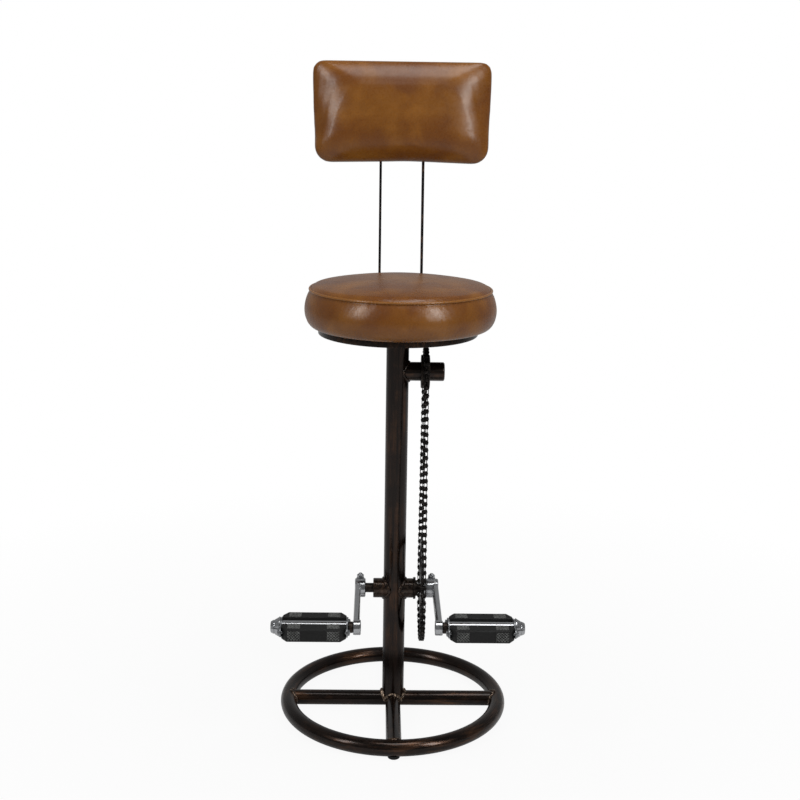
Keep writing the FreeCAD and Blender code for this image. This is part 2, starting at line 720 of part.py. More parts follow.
def sprocket(label, teeth, pitch_radius, height, bore, first_gap):
    """A toothed disc in the chain's plane; first_gap turns one gap to the vertical."""
    body = doc.addObject("PartDesign::Body", label + "_body")
    disc = sketch_on(body, "YZ_Plane", label + "_disc")
    draw_circle(disc, "2 * (%s + tooth_rise)" % pitch_radius)
    draw_circle(disc, bore)
    pad(body, disc, label + "_blank", "sprocket_thickness")
    gap = sketch_on(body, "YZ_Plane", label + "_gap")
    seat = "(roller_diameter / 2 + tooth_gap_clearance)"
    low = "%s - %s" % (pitch_radius, seat)
    knee = "%s - gap_knee * %s" % (pitch_radius, seat)
    top = "%s + 2 * tooth_rise" % pitch_radius
    draw_outline(gap, [
        ("-gap_floor * %s" % seat, low),
        ("gap_floor * %s" % seat, low),
        ("gap_flank * %s" % seat, knee),
        ("gap_mouth * chain_pitch", top),
        ("-gap_mouth * chain_pitch", top),
        ("-gap_flank * %s" % seat, knee),
    ])
    pattern(body, pocket(body, gap, label + "_gap_cut"), gap, label + "_teeth", teeth)
    place(body, x="chain_middle - sprocket_thickness / 2", z=height, rotation=Rotation(Vector(1, 0, 0), first_gap))
    return body


def half_step(links, teeth):
    """Half a tooth when an odd number of links is laid evenly about the vertical."""
    return (links % 2) * 180.0 / size(teeth)


chainring = sprocket(
    "chainring", "chainring_teeth", "low_pitch", "axle_height", "spigot_diameter",
    180 + half_step(low_links, "chainring_teeth"),
)


def window_corner(radius, share):
    """A point of a window's edge: share 1 lies on the arm's edge, 0 on the middle line."""
    turn = "(%s * (180 deg / spider_arms - asin(spider_arm / 2 / %s)))" % (share, radius)
    return "%s * sin(%s)" % (radius, turn), "%s * cos(%s)" % (radius, turn)


window = sketch_on(chainring, "YZ_Plane", "chainring_window")
window_out = "(low_pitch - rim_width)"
window_in = "(spider_hub / 2)"
draw_outline(window, [
    window_corner(window_in, "-1"),
    window_corner(window_in, "1"),
    window_corner(window_out, "1"),
    window_corner(window_out, "1 / 3"),
    window_corner(window_out, "-1 / 3"),
    window_corner(window_out, "-1"),
])
pattern(chainring, pocket(chainring, window, "window_cut"), window, "chainring_arms", "spider_arms")
keep(chainring, "chainring")

freewheel_disc = sprocket(
    "freewheel_teeth", "freewheel_teeth", "top_pitch", "stub_height", "freewheel_diameter",
    half_step(top_links, "freewheel_teeth"),
)
keep(freewheel_disc, "freewheel_sprocket")


def freewheel_body():
    """Ratchet housing on the stub, with its cover ring and two pin spanner holes."""
    start = "(chain_middle - freewheel_inner)"
    width = "(freewheel_inner + freewheel_outer)"
    housing = cylinder("freewheel_solid", "freewheel_diameter", width, "X", x=start, z="stub_height")
    bore = cylinder("freewheel_bore", "stub_diameter", width, "X", x=start, z="stub_height")
    face = "(chain_middle + freewheel_outer)"
    groove_x = face + " - cover_groove_depth"
    groove = cut(
        "freewheel_groove",
        cylinder("groove_out", "cover_groove_out", "cover_groove_depth", "X", x=groove_x, z="stub_height"),
        cylinder("groove_in", "cover_groove_in", "cover_groove_depth", "X", x=groove_x, z="stub_height"),
    )
    hole_x = face + " - pin_hole_depth"
    reach = "(stub_diameter + cover_groove_in) / 4"
    holes = [
        cylinder("pin_hole_" + name, "pin_hole", "pin_hole_depth", "X", x=hole_x, z=hole_z)
        for name, hole_z in (("low", "stub_height - " + reach), ("high", "stub_height + " + reach))
    ]
    return keep(cut("freewheel", housing, bore, groove, *holes), "freewheel_body")


freewheel_body()


# Chain: inner links with their rollers, outer links with the heads of their pins. Its
# round pieces have few sides, because there are hundreds of them.

ROUND_SIDES = 6
PLATE_END_TURN = 64


def plate(reach, height, thickness, x):
    """One side plate between two pins, waisted in the middle."""
    tip = height / 2
    ahead = tip * math.cos(math.radians(PLATE_END_TURN))
    up = tip * math.sin(math.radians(PLATE_END_TURN))
    half = [(-tip, 0), (-ahead, up), (reach / 2, size("link_waist") / 2), (reach + ahead, up), (reach + tip, 0)]
    corners = half + [(along, -up) for along, up in reversed(half[1:-1])]
    points = [Vector(x, along, up) for along, up in corners]
    face = Part.Face(Part.makePolygon(points + points[:1]))
    return face.extrude(Vector(thickness, 0, 0))


def round_piece(diameter, length, x, along):
    """A roller or a pin's head, its middle on a pin's line."""
    points = []
    for index in range(ROUND_SIDES):
        turn = 2 * math.pi * (index + 0.5) / ROUND_SIDES
        points.append(Vector(x, along + diameter / 2 * math.cos(turn), diameter / 2 * math.sin(turn)))
    face = Part.Face(Part.makePolygon(points + points[:1]))
    return face.extrude(Vector(length, 0, 0))


def inner_link():
    pitch = size("chain_pitch")
    gap = size("inner_width")
    thickness = size("link_plate")
    pieces = [plate(pitch, size("link_height"), thickness, x) for x in (-gap / 2 - thickness, gap / 2)]
    rollers = [round_piece(size("roller_diameter"), gap, -gap / 2, along) for along in (0, pitch)]
    return pieces[0].multiFuse(pieces[1:] + rollers)


def outer_link():
    pitch = size("chain_pitch")
    thickness = size("link_plate")
    near = size("inner_width") / 2 + thickness + size("link_clearance")
    pieces = []
    for start, head in ((near, near + thickness), (-near - thickness, -near - thickness - size("pin_head"))):
        heads = [round_piece(size("pin_diameter"), size("pin_head"), head, along) for along in (0, pitch)]
        pieces.append(plate(pitch, size("link_height"), thickness, start).multiFuse(heads))
    return pieces


def lay_links(name, pieces, first):
    """Copy a link's pieces along every second step of the route."""
    copies = []
    axle_z = size("axle_height")
    for index in range(first, len(route), 2):
        start = Vector(size("chain_middle"), route[index][0], route[index][1] + axle_z)
        after = route[(index + 1) % len(route)]
        turn = math.degrees(math.atan2(after[1] - route[index][1], after[0] - route[index][0]))
        for piece in pieces:
            copy = piece.copy()
            copy.Placement = Placement(start, Rotation(Vector(1, 0, 0), turn))
            copies.append(copy)
    chain = doc.addObject("Part::Feature", name)
    chain.Shape = Part.Compound(copies)
    chain.Placement = Placement()
    return keep(chain, name)


lay_links("chain_inner_links", [inner_link()], 0)
lay_links("chain_outer_links", outer_link(), 1)


# Seat: steel pan, plywood board, screws and the cushion over them


def screw(name, x, y, z):
    """A wood screw driven upwards: a round head and its shank."""
    head = cylinder(name + "_head", "screw_head", "screw_head_height", "-Z", x, y, z)
    shank = cylinder(name + "_shank", "screw_diameter", "pan_plate + screw_bite", "Z", x, y, z)
    return fuse(name, head, shank), shank


seat_screws = []
seat_shanks = []
for index, (side, depth) in enumerate(((-1, -1), (1, -1), (1, 1), (-1, 1))):
    whole, shank = screw(
        "seat_screw_%d" % index,
        "%d * seat_screw_circle / 2 * sin(45 deg)" % side,
        "%d * seat_screw_circle / 2 * cos(45 deg)" % depth,
        "pan_under",
    )
    seat_screws.append(whole)
    seat_shanks.append(shank)
keep(gather("seat_screws", *seat_screws), "seat_screws")


def seat_pan():
    """A shallow dish, open below, with a rolled upper edge."""
    dish = cylinder("pan_dish", "pan_diameter", "pan_rim", z="rim_under")
    hollow = cylinder("pan_hollow", "pan_diameter - 2 * pan_rim_wall", "pan_rim - pan_plate", z="rim_under")
    bare = cut("pan_bare", dish, hollow)
    doc.recompute()
    rolled = doc.addObject("Part::Fillet", "pan_rolled")
    rolled.Base = bare
    upper = [
        index
        for index, edge in enumerate(bare.Shape.Edges, 1)
        if edge.Closed and edge.BoundBox.ZMin > size("pan_height") - 0.01
    ]
    rolled.Edges = [(index, size("pan_rim_wall"), size("pan_rim_wall")) for index in upper]
    return keep(cut("pan", rolled, *seat_shanks), "seat_pan")


seat_pan()
board_solid = cylinder(
    "seat_board_solid", "seat_board_diameter", "seat_board_thickness", x="seat_shift", z="pan_height"
)
keep(cut("seat_board", board_solid, *seat_shanks), "seat_board")


def seat_cushion():
    """Crowned round cushion: drawn in at the pan, widest low down, a seam, a full top."""
    base = size("pan_height")
    board = size("seat_board_diameter") / 2
    seam_z = base + size("seat_seam_height")

    def at(radius, height):
        return Vector(radius, 0, height)

    def swell(start, end, bulge):
        """An arc from start to end that stands out by the bulge."""
        run = (end - start).normalize()
        return Part.Arc(start, (start + end) / 2 + Vector(run.z, 0, -run.x) * bulge, end)

    foot = at(size("pan_diameter") / 2, base)
    wide = at(size("seat_diameter") / 2, base + size("seat_swell_height"))
    seam = at(size("seat_seam_diameter") / 2, seam_z)
    shoulder = at(size("seat_shoulder_diameter") / 2, seam_z + size("seat_shoulder_rise"))
    top = at(0, seam_z + size("seat_crown"))
    inside = at(0, base + size("seat_board_thickness"))
    dome_rise = top.z - shoulder.z
    dome = (shoulder.x ** 2 + dome_rise ** 2) / (2 * dome_rise)
    dome_drop = dome - math.sqrt(dome ** 2 - (shoulder.x / 2) ** 2)
    edges = [
        Part.LineSegment(inside, at(board, inside.z)),
        Part.LineSegment(at(board, inside.z), at(board, base)),
        Part.LineSegment(at(board, base), foot),
        swell(foot, wide, size("seat_low_bulge")),
        swell(wide, seam, size("seat_side_bulge")),
        swell(seam, shoulder, size("seat_shoulder_bulge")),
        Part.Arc(shoulder, at(shoulder.x / 2, top.z - dome_drop), top),
        Part.LineSegment(top, inside),
    ]
    outline = Part.Wire([edge.toShape() for edge in edges])
    cushion = doc.addObject("Part::Feature", "cushion")
    cushion.Shape = Part.Face(outline).revolve(Vector(), Vector(0, 0, 1), 360)
    return keep(place(cushion, x="seat_shift"), "seat_cushion")


seat_cushion()


# Uprights: flat bars set on edge, cut and bent to an L that leans back


def upright(side, x):
    """Seen from the side: a notched leg under the pan, a bend, and the leaning bar."""
    lean = math.radians(size("recline"))
    width = size("upright_width")
    start = size("upright_reach")
    front = size("upright_front")
    under = size("pan_under")
    rim = size("rim_under")
    rim_inside = size("pan_diameter") / 2 - size("pan_rim_wall")
    far_side = (size("upright_spacing") + size("upright_thickness")) / 2 + size("upright_shift")
    notch = math.sqrt(rim_inside ** 2 - far_side ** 2) - size("notch_clearance")
    bend = size("upright_bend")
    top = size("back_middle_height") + size("back_plate_tall") / 2
    foot = rim - width
    slope = Vector(0, math.sin(lean), math.cos(lean))
    corner = Vector(0, front, rim)
    outer_low = Vector(0, front + width / math.cos(lean) - width * math.tan(lean), foot)
    front_top = corner + slope * ((top - rim) / math.cos(lean))
    back_top = front_top + Vector(0, width * math.cos(lean), -width * math.sin(lean))
    points = [
        Vector(0, start, foot),
        outer_low,
        back_top,
        front_top,
        corner,
        Vector(0, notch, rim),
        Vector(0, notch, under),
        Vector(0, start, under),
    ]
    profile = Part.Face(Part.makePolygon(points + points[:1]))
    bar = profile.extrude(Vector(size("upright_thickness"), 0, 0))
    rounded = []
    for edge in bar.Edges:
        if edge.BoundBox.XLength < size("upright_thickness") - 0.01:
            continue
        middle = edge.CenterOfMass
        if (middle - Vector(middle.x, corner.y, corner.z)).Length < 0.01:
            rounded.append((edge, bend))
        if (middle - Vector(middle.x, outer_low.y, outer_low.z)).Length < 0.01:
            rounded.append((edge, bend + width))
    for edge, radius in rounded:
        found = [
            other for other in bar.Edges
            if (other.CenterOfMass - edge.CenterOfMass).Length < 0.01
        ]
        bar = bar.makeFillet(radius, found)
    piece = doc.addObject("Part::Feature", side + "_upright_bar")
    piece.Shape = bar
    place(piece, x=x)
    return keep(piece, side + "_upright")


upright("left", "upright_shift - upright_spacing / 2 - upright_thickness / 2")
upright("right", "upright_shift + upright_spacing / 2 - upright_thickness / 2")


# Backrest: steel plate on the uprights, plywood board, screws and the pad


def on_back(thing):
    """Move a piece drawn upright about the origin onto the leaning front of the uprights."""
    lean = math.radians(size("recline"))
    rise = size("back_middle_height") - size("rim_under")
    along = size("upright_front") + rise * math.tan(lean)
    spot = Vector(size("back_shift"), along, size("back_middle_height"))
    thing.Placement = Placement(spot, Rotation(Vector(1, 0, 0), -size("recline")))
    return thing


def back_outline(y, inset, corner):
    """The pad's outline at one depth: tapering sides, a bowed lower edge, round corners."""
    top = size("back_tall") / 2 - inset
    low = -top
    wide = size("back_width") / 2 - inset
    narrow = wide - size("back_taper")
    bow = size("back_bow") * narrow / (size("back_width") / 2)
    edge_low = low + bow
    turn = math.sqrt(0.5) * corner

    def at(x, z):
        return Vector(x, y, z)

    side = narrow + (wide - narrow) * corner / (2 * top)
    side_top = wide - (wide - narrow) * corner / (2 * top)
    edges = [
        Part.LineSegment(at(-wide + corner, top), at(wide - corner, top)),
        Part.Arc(at(wide - corner, top), at(wide - corner + turn, top - corner + turn), at(side_top, top - corner)),
        Part.LineSegment(at(side_top, top - corner), at(side, edge_low + corner)),
        Part.Arc(
            at(side, edge_low + corner),
            at(narrow - corner + turn, edge_low + corner - turn),
            at(narrow - corner, edge_low),
        ),
        Part.Arc(at(narrow - corner, edge_low), at(0, low), at(corner - narrow, edge_low)),
        Part.Arc(
            at(corner - narrow, edge_low),
            at(corner - narrow - turn, edge_low + corner - turn),
            at(-side, edge_low + corner),
        ),
        Part.LineSegment(at(-side, edge_low + corner), at(-side_top, top - corner)),
        Part.Arc(at(-side_top, top - corner), at(corner - wide - turn, top - corner + turn), at(corner - wide, top)),
    ]
    return Part.Wire([edge.toShape() for edge in edges])


def back_pieces():
    plate_y = -size("back_plate_thickness")
    depth = size("back_depth")
    corner = size("back_corner")
    board_y = plate_y - size("back_board_thickness")

    board_face = Part.Face(back_outline(plate_y, size("back_board_margin"), size("back_board_corner")))
    board = board_face.extrude(Vector(0, board_y - plate_y, 0))

    # Share of the pad's depth, and how far the outline draws in there
    profile = ((0, 6), (0.2, 1), (0.42, 0), (0.66, 3), (0.86, 14), (0.96, 34), (1, 58))
    least_side = 6
    sections = [
        back_outline(plate_y - share * depth, inset, min(corner, size("back_tall") / 2 - inset - least_side))
        for share, inset in profile
    ]
    pad_solid = Part.makeLoft(sections, True, False)
    pad_solid = pad_solid.cut(board)

    wide = size("back_plate_width")
    tall = size("back_plate_tall")
    steel = Part.makeBox(wide, -plate_y, tall, Vector(-wide / 2, plate_y, -tall / 2))
    corners = [edge for edge in steel.Edges if edge.BoundBox.YLength > -plate_y - 0.01]
    steel = steel.makeFillet(size("back_plate_corner"), corners)

    screws = []
    inset = size("back_screw_inset")
    for x in (-wide / 2 + inset, wide / 2 - inset):
        for z in (-tall / 2 + inset, tall / 2 - inset):
            spot = Vector(x, 0, z)
            head = Part.makeCylinder(size("screw_head") / 2, size("screw_head_height"), spot, Vector(0, 1, 0))
            length = size("back_plate_thickness") + size("screw_bite")
            shank = Part.makeCylinder(size("screw_diameter") / 2, length, spot, Vector(0, -1, 0))
            steel = steel.cut(shank)
            board = board.cut(shank)
            screws.append(head.fuse(shank).removeSplitter())

    for label, shape in (
        ("back_board", board),
        ("back_pad", pad_solid),
        ("back_plate", steel),
        ("back_screws", Part.Compound(screws)),
    ):
        piece = doc.addObject("Part::Feature", label)
        piece.Shape = shape
        keep(on_back(piece), label)


back_pieces()


# Pedals: drawn along +X from the crank's face, then placed on the left or right crank


def end_plate(name, start, barrel, rods):
    """Pressed plate: a round middle with an arm to each block's rod."""
    hub = cylinder(name + "_hub", "end_plate_hub", "end_plate_thickness", "X", x=start)
    arms = box(
        name + "_arms", "end_plate_thickness", "2 * rod_spacing", "end_plate_height",
        x=start, y="-rod_spacing", z="-end_plate_height / 2",
    )
    tips = [
        cylinder(name + "_tip", "end_plate_height", "end_plate_thickness", "X", x=start, y=y)
        for y in ("rod_spacing", "-rod_spacing")
    ]
    return cut(name, fuse(name + "_blank", hub, arms, *tips), barrel, *rods)


def rubber_block(name, turned):
    """Block with slanted ends, drawn in plan; the turned one lies behind the spindle."""
    body = doc.addObject("PartDesign::Body", name + "_body")
    plan = sketch_on(body, "XY_Plane", name + "_plan")
    draw_outline(plan, [
        ("block_near", "-block_start"),
        ("block_near", "block_cut_across - pedal_depth / 2"),
        ("block_near + block_cut_along", "-pedal_depth / 2"),
        ("block_far - block_cut_along", "-pedal_depth / 2"),
        ("block_far", "block_cut_across - pedal_depth / 2"),
        ("block_far", "-block_start"),
    ])
    slab = pad(body, plan, name + "_slab", "block_thickness")
    doc.recompute()
    edges = body.newObject("PartDesign::Chamfer", name + "_edges")
    edges.Base = (slab, straight_edges(slab.Shape, Vector(1, 0, 0), size("block_length") / 2))
    bind(edges, Size="block_edge")
    body.Tip = edges
    if turned:
        body.Placement = Placement(Vector(), Rotation(Vector(1, 0, 0), 180))
        place(body, z="block_thickness / 2")
    else:
        place(body, z="-block_thickness / 2")
    return body


def tie_rod(name, y):
    """Rod through a block with a nut outside each end plate."""
    nut_x = "collar_length - rod_nut_height"
    length = "pedal_far - collar_length + 2 * rod_nut_height + 2 * rod_stand_out"
    rod = cylinder(name + "_rod", "rod_diameter", length, "X", x=nut_x + " - rod_stand_out", y=y)
    near = prism(name + "_near", "rod_nut_flats", "rod_nut_height", "X", x=nut_x, y=y)
    far = prism(name + "_far", "rod_nut_flats", "rod_nut_height", "X", x="pedal_far", y=y)
    return rod, fuse(name, rod, near, far)


def spindle(side):
    """Thread in the crank's eye, a flatted collar, the long shaft and its far thread."""
    thread = cylinder(side + "_thread", "spindle_thread", "eye_width", "-X")
    collar = cylinder(side + "_collar", "collar_diameter", "collar_length - end_clearance", "X")
    flats = box(
        side + "_flats", "collar_length - end_clearance", "collar_flats", "collar_diameter",
        y="-collar_flats / 2", z="-collar_diameter / 2",
    )
    wrench = doc.addObject("Part::Common", side + "_wrench")
    wrench.Base = collar
    wrench.Tool = flats
    shaft_length = "pedal_far + end_clearance + spindle_nut_height + spindle_stand_out"
    shaft = cylinder(side + "_shaft", "spindle_diameter", shaft_length, "X")
    return shaft, fuse(side + "_spindle", thread, wrench, shaft)


def pedal(side, x, turn):
    """Every piece of one pedal, moved onto its crank.

    A half turn about the vertical makes the right pedal into the left one, so the block
    drawn ahead of the spindle then lies behind it.
    """
    tag = side + "_pedal"
    ahead, behind = ("rear", "front") if turn else ("front", "rear")
    shaft, spindle_whole = spindle(side)
    bore = "barrel_diameter - 2 * barrel_wall"
    start = "collar_length"
    length = "pedal_far - collar_length"
    barrel_solid = cylinder(tag + "_barrel_solid", "barrel_diameter", length, "X", x=start)
    barrel_bore = cylinder(tag + "_barrel_bore", bore, length, "X", x=start)
    running = cylinder(tag + "_running", "spindle_diameter + 2 * run_clearance", length, "X", x=start)
    bushes = [
        cut(name, cylinder(name + "_solid", bore, "bush_length", "X", x=bush_x), running)
        for name, bush_x in ((tag + "_near_bush", start), (tag + "_far_bush", "pedal_far - bush_length"))
    ]
    ahead_rod, ahead_tie = tie_rod("%s_%s_tie" % (tag, ahead), "-rod_spacing")
    behind_rod, behind_tie = tie_rod("%s_%s_tie" % (tag, behind), "rod_spacing")
    rods = [ahead_rod, behind_rod]
    ahead_block = cut("%s_%s" % (tag, ahead), rubber_block("%s_%s_slab" % (tag, ahead), False), ahead_rod)
    behind_block = cut("%s_%s" % (tag, behind), rubber_block("%s_%s_slab" % (tag, behind), True), behind_rod)
    nut = cut(
        tag + "_spindle_nut_cut",
        prism(tag + "_nut", "spindle_nut_flats", "spindle_nut_height", "X", x="pedal_far + end_clearance"),
        shaft,
    )
    shell = cone(tag + "_cap_out", "cap_base", "cap_tip", "cap_length", "X", x="pedal_far")
    hollow = cone(
        tag + "_cap_in", "cap_base - 2 * cap_wall", "cap_tip - 2 * cap_wall", "cap_length - cap_wall", "X",
        x="pedal_far",
    )
    pieces = {
        "spindle": spindle_whole,
        "spindle_nut": nut,
        "barrel": cut(tag + "_tube", barrel_solid, barrel_bore),
        "bushes": gather(tag + "_bush_pair", *bushes),
        "inner_plate": end_plate(tag + "_inner", start, barrel_solid, rods),
        "outer_plate": end_plate(tag + "_outer", "block_far", barrel_solid, rods),
        ahead + "_block": ahead_block,
        behind + "_block": behind_block,
        "tie_rods": gather(tag + "_ties", ahead_tie, behind_tie),
        "dust_cap": cut(tag + "_cap", shell, hollow),
    }
    for name, piece in pieces.items():
        place(piece, x=x, y="-crank_length", z="axle_height", rotation=Rotation(Vector(0, 0, 1), turn))
        keep(piece, "%s_%s" % (tag, name))


pedal("left", "-left_crank_face", 180)
pedal("right", "right_crank_face", 0)


# Check every object and write one file per sub-part

doc.recompute()
for thing in doc.Objects:
    for word in ("Invalid", "Error"):
        if word in thing.State:
            raise ValueError("%s is %s" % (thing.Label, word))
os.makedirs("parts", exist_ok=True)
for node in nodes:
    shape = node.Shape
    if shape.isNull() or not shape.isValid() or shape.Volume <= 0:
        raise ValueError("%s has no sound shape" % node.Label)
for node in nodes:
    node.Shape.exportStep("parts/%s.step" % node.Label)
print("%d sub-parts, chain of %d links, centres %.2f mm apart" % (len(nodes), len(route), centres))
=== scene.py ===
import math

import bmesh
import bpy
import numpy as np
from mathutils import Matrix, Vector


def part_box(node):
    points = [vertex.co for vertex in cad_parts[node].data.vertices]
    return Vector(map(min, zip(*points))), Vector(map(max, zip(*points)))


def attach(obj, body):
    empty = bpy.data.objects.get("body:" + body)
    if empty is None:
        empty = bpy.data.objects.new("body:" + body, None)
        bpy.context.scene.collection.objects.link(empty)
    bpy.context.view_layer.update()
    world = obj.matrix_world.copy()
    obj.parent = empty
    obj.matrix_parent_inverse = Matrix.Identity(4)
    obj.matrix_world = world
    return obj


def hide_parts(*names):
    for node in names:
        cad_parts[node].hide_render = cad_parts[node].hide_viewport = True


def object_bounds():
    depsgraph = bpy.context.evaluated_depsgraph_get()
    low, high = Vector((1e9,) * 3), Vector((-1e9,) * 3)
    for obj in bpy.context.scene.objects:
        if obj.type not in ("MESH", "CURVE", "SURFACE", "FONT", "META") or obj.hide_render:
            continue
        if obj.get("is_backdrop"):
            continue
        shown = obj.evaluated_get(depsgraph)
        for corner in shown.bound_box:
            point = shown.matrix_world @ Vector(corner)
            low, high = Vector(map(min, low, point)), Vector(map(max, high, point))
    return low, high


# Bar stool with a footrest of bicycle parts. Lengths are in millimetres until a mesh is
# made; X runs to the chain side, -Y to the footrest, Z up from the floor.

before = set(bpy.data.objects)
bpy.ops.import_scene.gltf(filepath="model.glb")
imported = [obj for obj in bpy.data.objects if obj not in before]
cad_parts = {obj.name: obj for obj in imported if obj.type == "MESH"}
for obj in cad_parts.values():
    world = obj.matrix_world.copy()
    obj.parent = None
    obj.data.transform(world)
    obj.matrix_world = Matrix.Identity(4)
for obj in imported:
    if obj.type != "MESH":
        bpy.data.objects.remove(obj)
cad_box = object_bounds()


# Camera: two metres in front of the stool, a little over a metre up, looking down by 13
# degrees with a trace of turn and roll. The focal length is a share of the frame's width.

CAMERA_PLACE = np.array([-35.3, -2110.2, 1050.3])
CAMERA_PITCH = 0.2333
CAMERA_TURN = 0.019
CAMERA_ROLL = -0.0153
CAMERA_FOCAL = 1.6456

look = np.array([
    math.sin(CAMERA_TURN) * math.cos(CAMERA_PITCH),
    math.cos(CAMERA_TURN) * math.cos(CAMERA_PITCH),
    -math.sin(CAMERA_PITCH),
])
level = np.array([math.cos(CAMERA_TURN), -math.sin(CAMERA_TURN), 0.0])
down = np.cross(look, level)
right = level * math.cos(CAMERA_ROLL) + down * math.sin(CAMERA_ROLL)
down = down * math.cos(CAMERA_ROLL) - level * math.sin(CAMERA_ROLL)
camera = bpy.data.objects.new("camera", bpy.data.cameras.new("camera"))
bpy.context.scene.collection.objects.link(camera)
camera.data.sensor_width = 36.0
camera.data.lens = CAMERA_FOCAL * camera.data.sensor_width
camera.data.clip_end = 50.0
camera_matrix = np.eye(4)
camera_matrix[:3, 0] = right
camera_matrix[:3, 1] = -down
camera_matrix[:3, 2] = -look
camera_matrix[:3, 3] = CAMERA_PLACE / 1000
camera.matrix_world = Matrix(camera_matrix.tolist())
bpy.context.scene.camera = camera
bpy.context.scene.view_settings.view_transform = "Standard"


# Base ring and crossbars: mild steel tube, bent and coped, welded, then lacquered a dark
# bronze and rubbed back by hand, so copper tones glow where the light runs along a tube.

RING_SIDES = 180
TUBE_SIDES = 48
AXES = {
    "X": np.array([[1, 0, 0], [0, 1, 0], [0, 0, 1.0]]),
    "-X": np.array([[-1, 0, 0], [0, -1, 0], [0, 0, 1.0]]),
    "Y": np.array([[0, 1, 0], [0, 0, 1], [1, 0, 0.0]]),
    "-Y": np.array([[0, -1, 0], [0, 0, 1], [-1, 0, 0.0]]),
    "Z": np.array([[0, 0, 1], [1, 0, 0], [0, 1, 0.0]]),
}


def extent(node):
    """Lowest and highest corner of a CAD node in millimetres."""
    low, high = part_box(node)
    return np.array(low) * 1000, np.array(high) * 1000


def shell(grid, around=True, along=False, ends=True):
    """Faces of a grid of points: a quad between each four neighbours.

    around joins the last column to the first and along the last row to the first; ends
    puts one face on the first row and one on the last, unless that row is a pole.
    """
    rows, columns = grid.shape[:2]
    number = np.arange(rows * columns).reshape(rows, columns)
    lower = number if along else number[:-1]
    upper = np.roll(number, -1, 0) if along else number[1:]
    quads = np.stack([lower, np.roll(lower, -1, 1), np.roll(upper, -1, 1), upper], -1)
    if not around:
        quads = quads[:, :-1]
    faces = quads.reshape(-1, 4).tolist()
    if ends and not along:
        for row in (0, -1):
            if np.ptp(grid[row], axis=0).max() > 1e-6:
                faces.append(number[row].tolist())
    return grid.reshape(-1, 3), faces


def turned(profile, axis, at, sides=TUBE_SIDES, hollow=False, flutes=0, depth=0.0):
    """A turned piece: point = at + axis * s + radius * (cos(turn) * one + sin(turn) * two).

    The profile lists (s, radius); a hollow one runs out along the outside and back inside.
    Flutes make the radius wave: times 1 + depth * cos(flutes * turn).
    """
    s, radius = np.array(profile, float).T
    turn = np.linspace(0, 2 * np.pi, sides, endpoint=False)
    along, one, two = AXES[axis]
    ring = np.cos(turn)[:, None] * one + np.sin(turn)[:, None] * two
    ring = ring * (1 + depth * np.cos(flutes * turn))[:, None]
    grid = np.array(at, float) + s[:, None, None] * along + radius[:, None, None] * ring
    return shell(grid, along=hollow)


def rod(length, radius, axis, at, edge=0.4, sides=TUBE_SIDES):
    """A round bar whose ends have a small chamfer."""
    profile = [(0, radius - edge), (edge, radius), (length - edge, radius), (length, radius - edge)]
    return turned(profile, axis, at, sides)


def linear(text):
    """An sRGB hex colour as the linear values that a shader takes."""
    value = np.array([int(text[i:i + 2], 16) for i in (1, 3, 5)]) / 255
    value = np.where(value <= 0.04045, value / 12.92, ((value + 0.055) / 1.055) ** 2.4)
    return (*value.tolist(), 1.0)


def add(tree, kind, inputs=None, **settings):
    """One node with its settings; each input is a value or another node's socket."""
    node = tree.nodes.new(kind)
    for key, value in settings.items():
        setattr(node, key, value)
    for key, value in (inputs or {}).items():
        if isinstance(value, bpy.types.NodeSocket):
            tree.links.new(value, node.inputs[key])
        else:
            node.inputs[key].default_value = value
    return node


def blank(name):
    """A material with an empty node tree, and the coordinates of the piece in metres."""
    material = bpy.data.materials.new(name)
    material.use_nodes = True
    material.node_tree.nodes.clear()
    coords = add(material.node_tree, "ShaderNodeTexCoord").outputs["Object"]
    return material, material.node_tree, coords


def piece(name, shells, material, nodes=(), body="frame", sharp=38.0, lay=None, rub=0.0):
    """One mesh object of closed shells, faces outward, smooth but for its sharp edges.

    It rides on its body and stands for the CAD nodes named. The attribute lay is the
    place squeezed along the way it was brushed, and rub says how far a point is rubbed;
    on the rubber treads it marks the knurl crests that carry a painted highlight.
    """
    points = np.concatenate([points for points, _ in shells]) / 1000
    starts = np.cumsum([0] + [len(points) for points, _ in shells])
    faces = [[i + int(start) for i in face] for start, (_, some) in zip(starts, shells) for face in some]
    mesh = bpy.data.meshes.new(name)
    mesh.from_pydata(points.tolist(), [], faces)
    brushed = points if lay is None else lay(points * 1000) / 1000
    mesh.attributes.new("lay", "FLOAT_VECTOR", "POINT").data.foreach_set("vector", brushed.ravel())
    rubbed = np.zeros(len(points)) + rub
    mesh.attributes.new("rub", "FLOAT", "POINT").data.foreach_set("value", rubbed)
    work = bmesh.new()
    work.from_mesh(mesh)
    bmesh.ops.remove_doubles(work, verts=work.verts, dist=1e-7)
    bmesh.ops.recalc_face_normals(work, faces=work.faces)
    work.to_mesh(mesh)
    work.free()
    mesh.polygons.foreach_set("use_smooth", np.ones(len(mesh.polygons), bool))
    mesh.set_sharp_from_angle(angle=math.radians(sharp))
    mesh.materials.append(material)
    thing = bpy.data.objects.new(name, mesh)
    bpy.context.scene.collection.objects.link(thing)
    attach(thing, body)
    if nodes:
        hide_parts(*nodes)
    return thing


# Bronze lacquer: pigmented clear lacquer over steel brushed along its length. The streaks
# are some 3 mm across and long, the pigment clouds over 60 mm, and rubbed places are copper.


def noise(tree, place, spots, detail, roughness=0.5, distortion=0.0):
    """Clouds as wide as spots, in millimetres where the place is in metres."""
    return add(tree, "ShaderNodeTexNoise", {
        "Vector": place, "Scale": 1000 / spots, "Detail": detail, "Roughness": roughness,
        "Distortion": distortion,
    }).outputs[0]


def ramp(tree, value, low, high, to_low, to_high):
    """A value carried from low..high to to_low..to_high, and held at both ends."""
    return add(tree, "ShaderNodeMapRange", {0: value, 1: low, 2: high, 3: to_low, 4: to_high}).outputs[0]


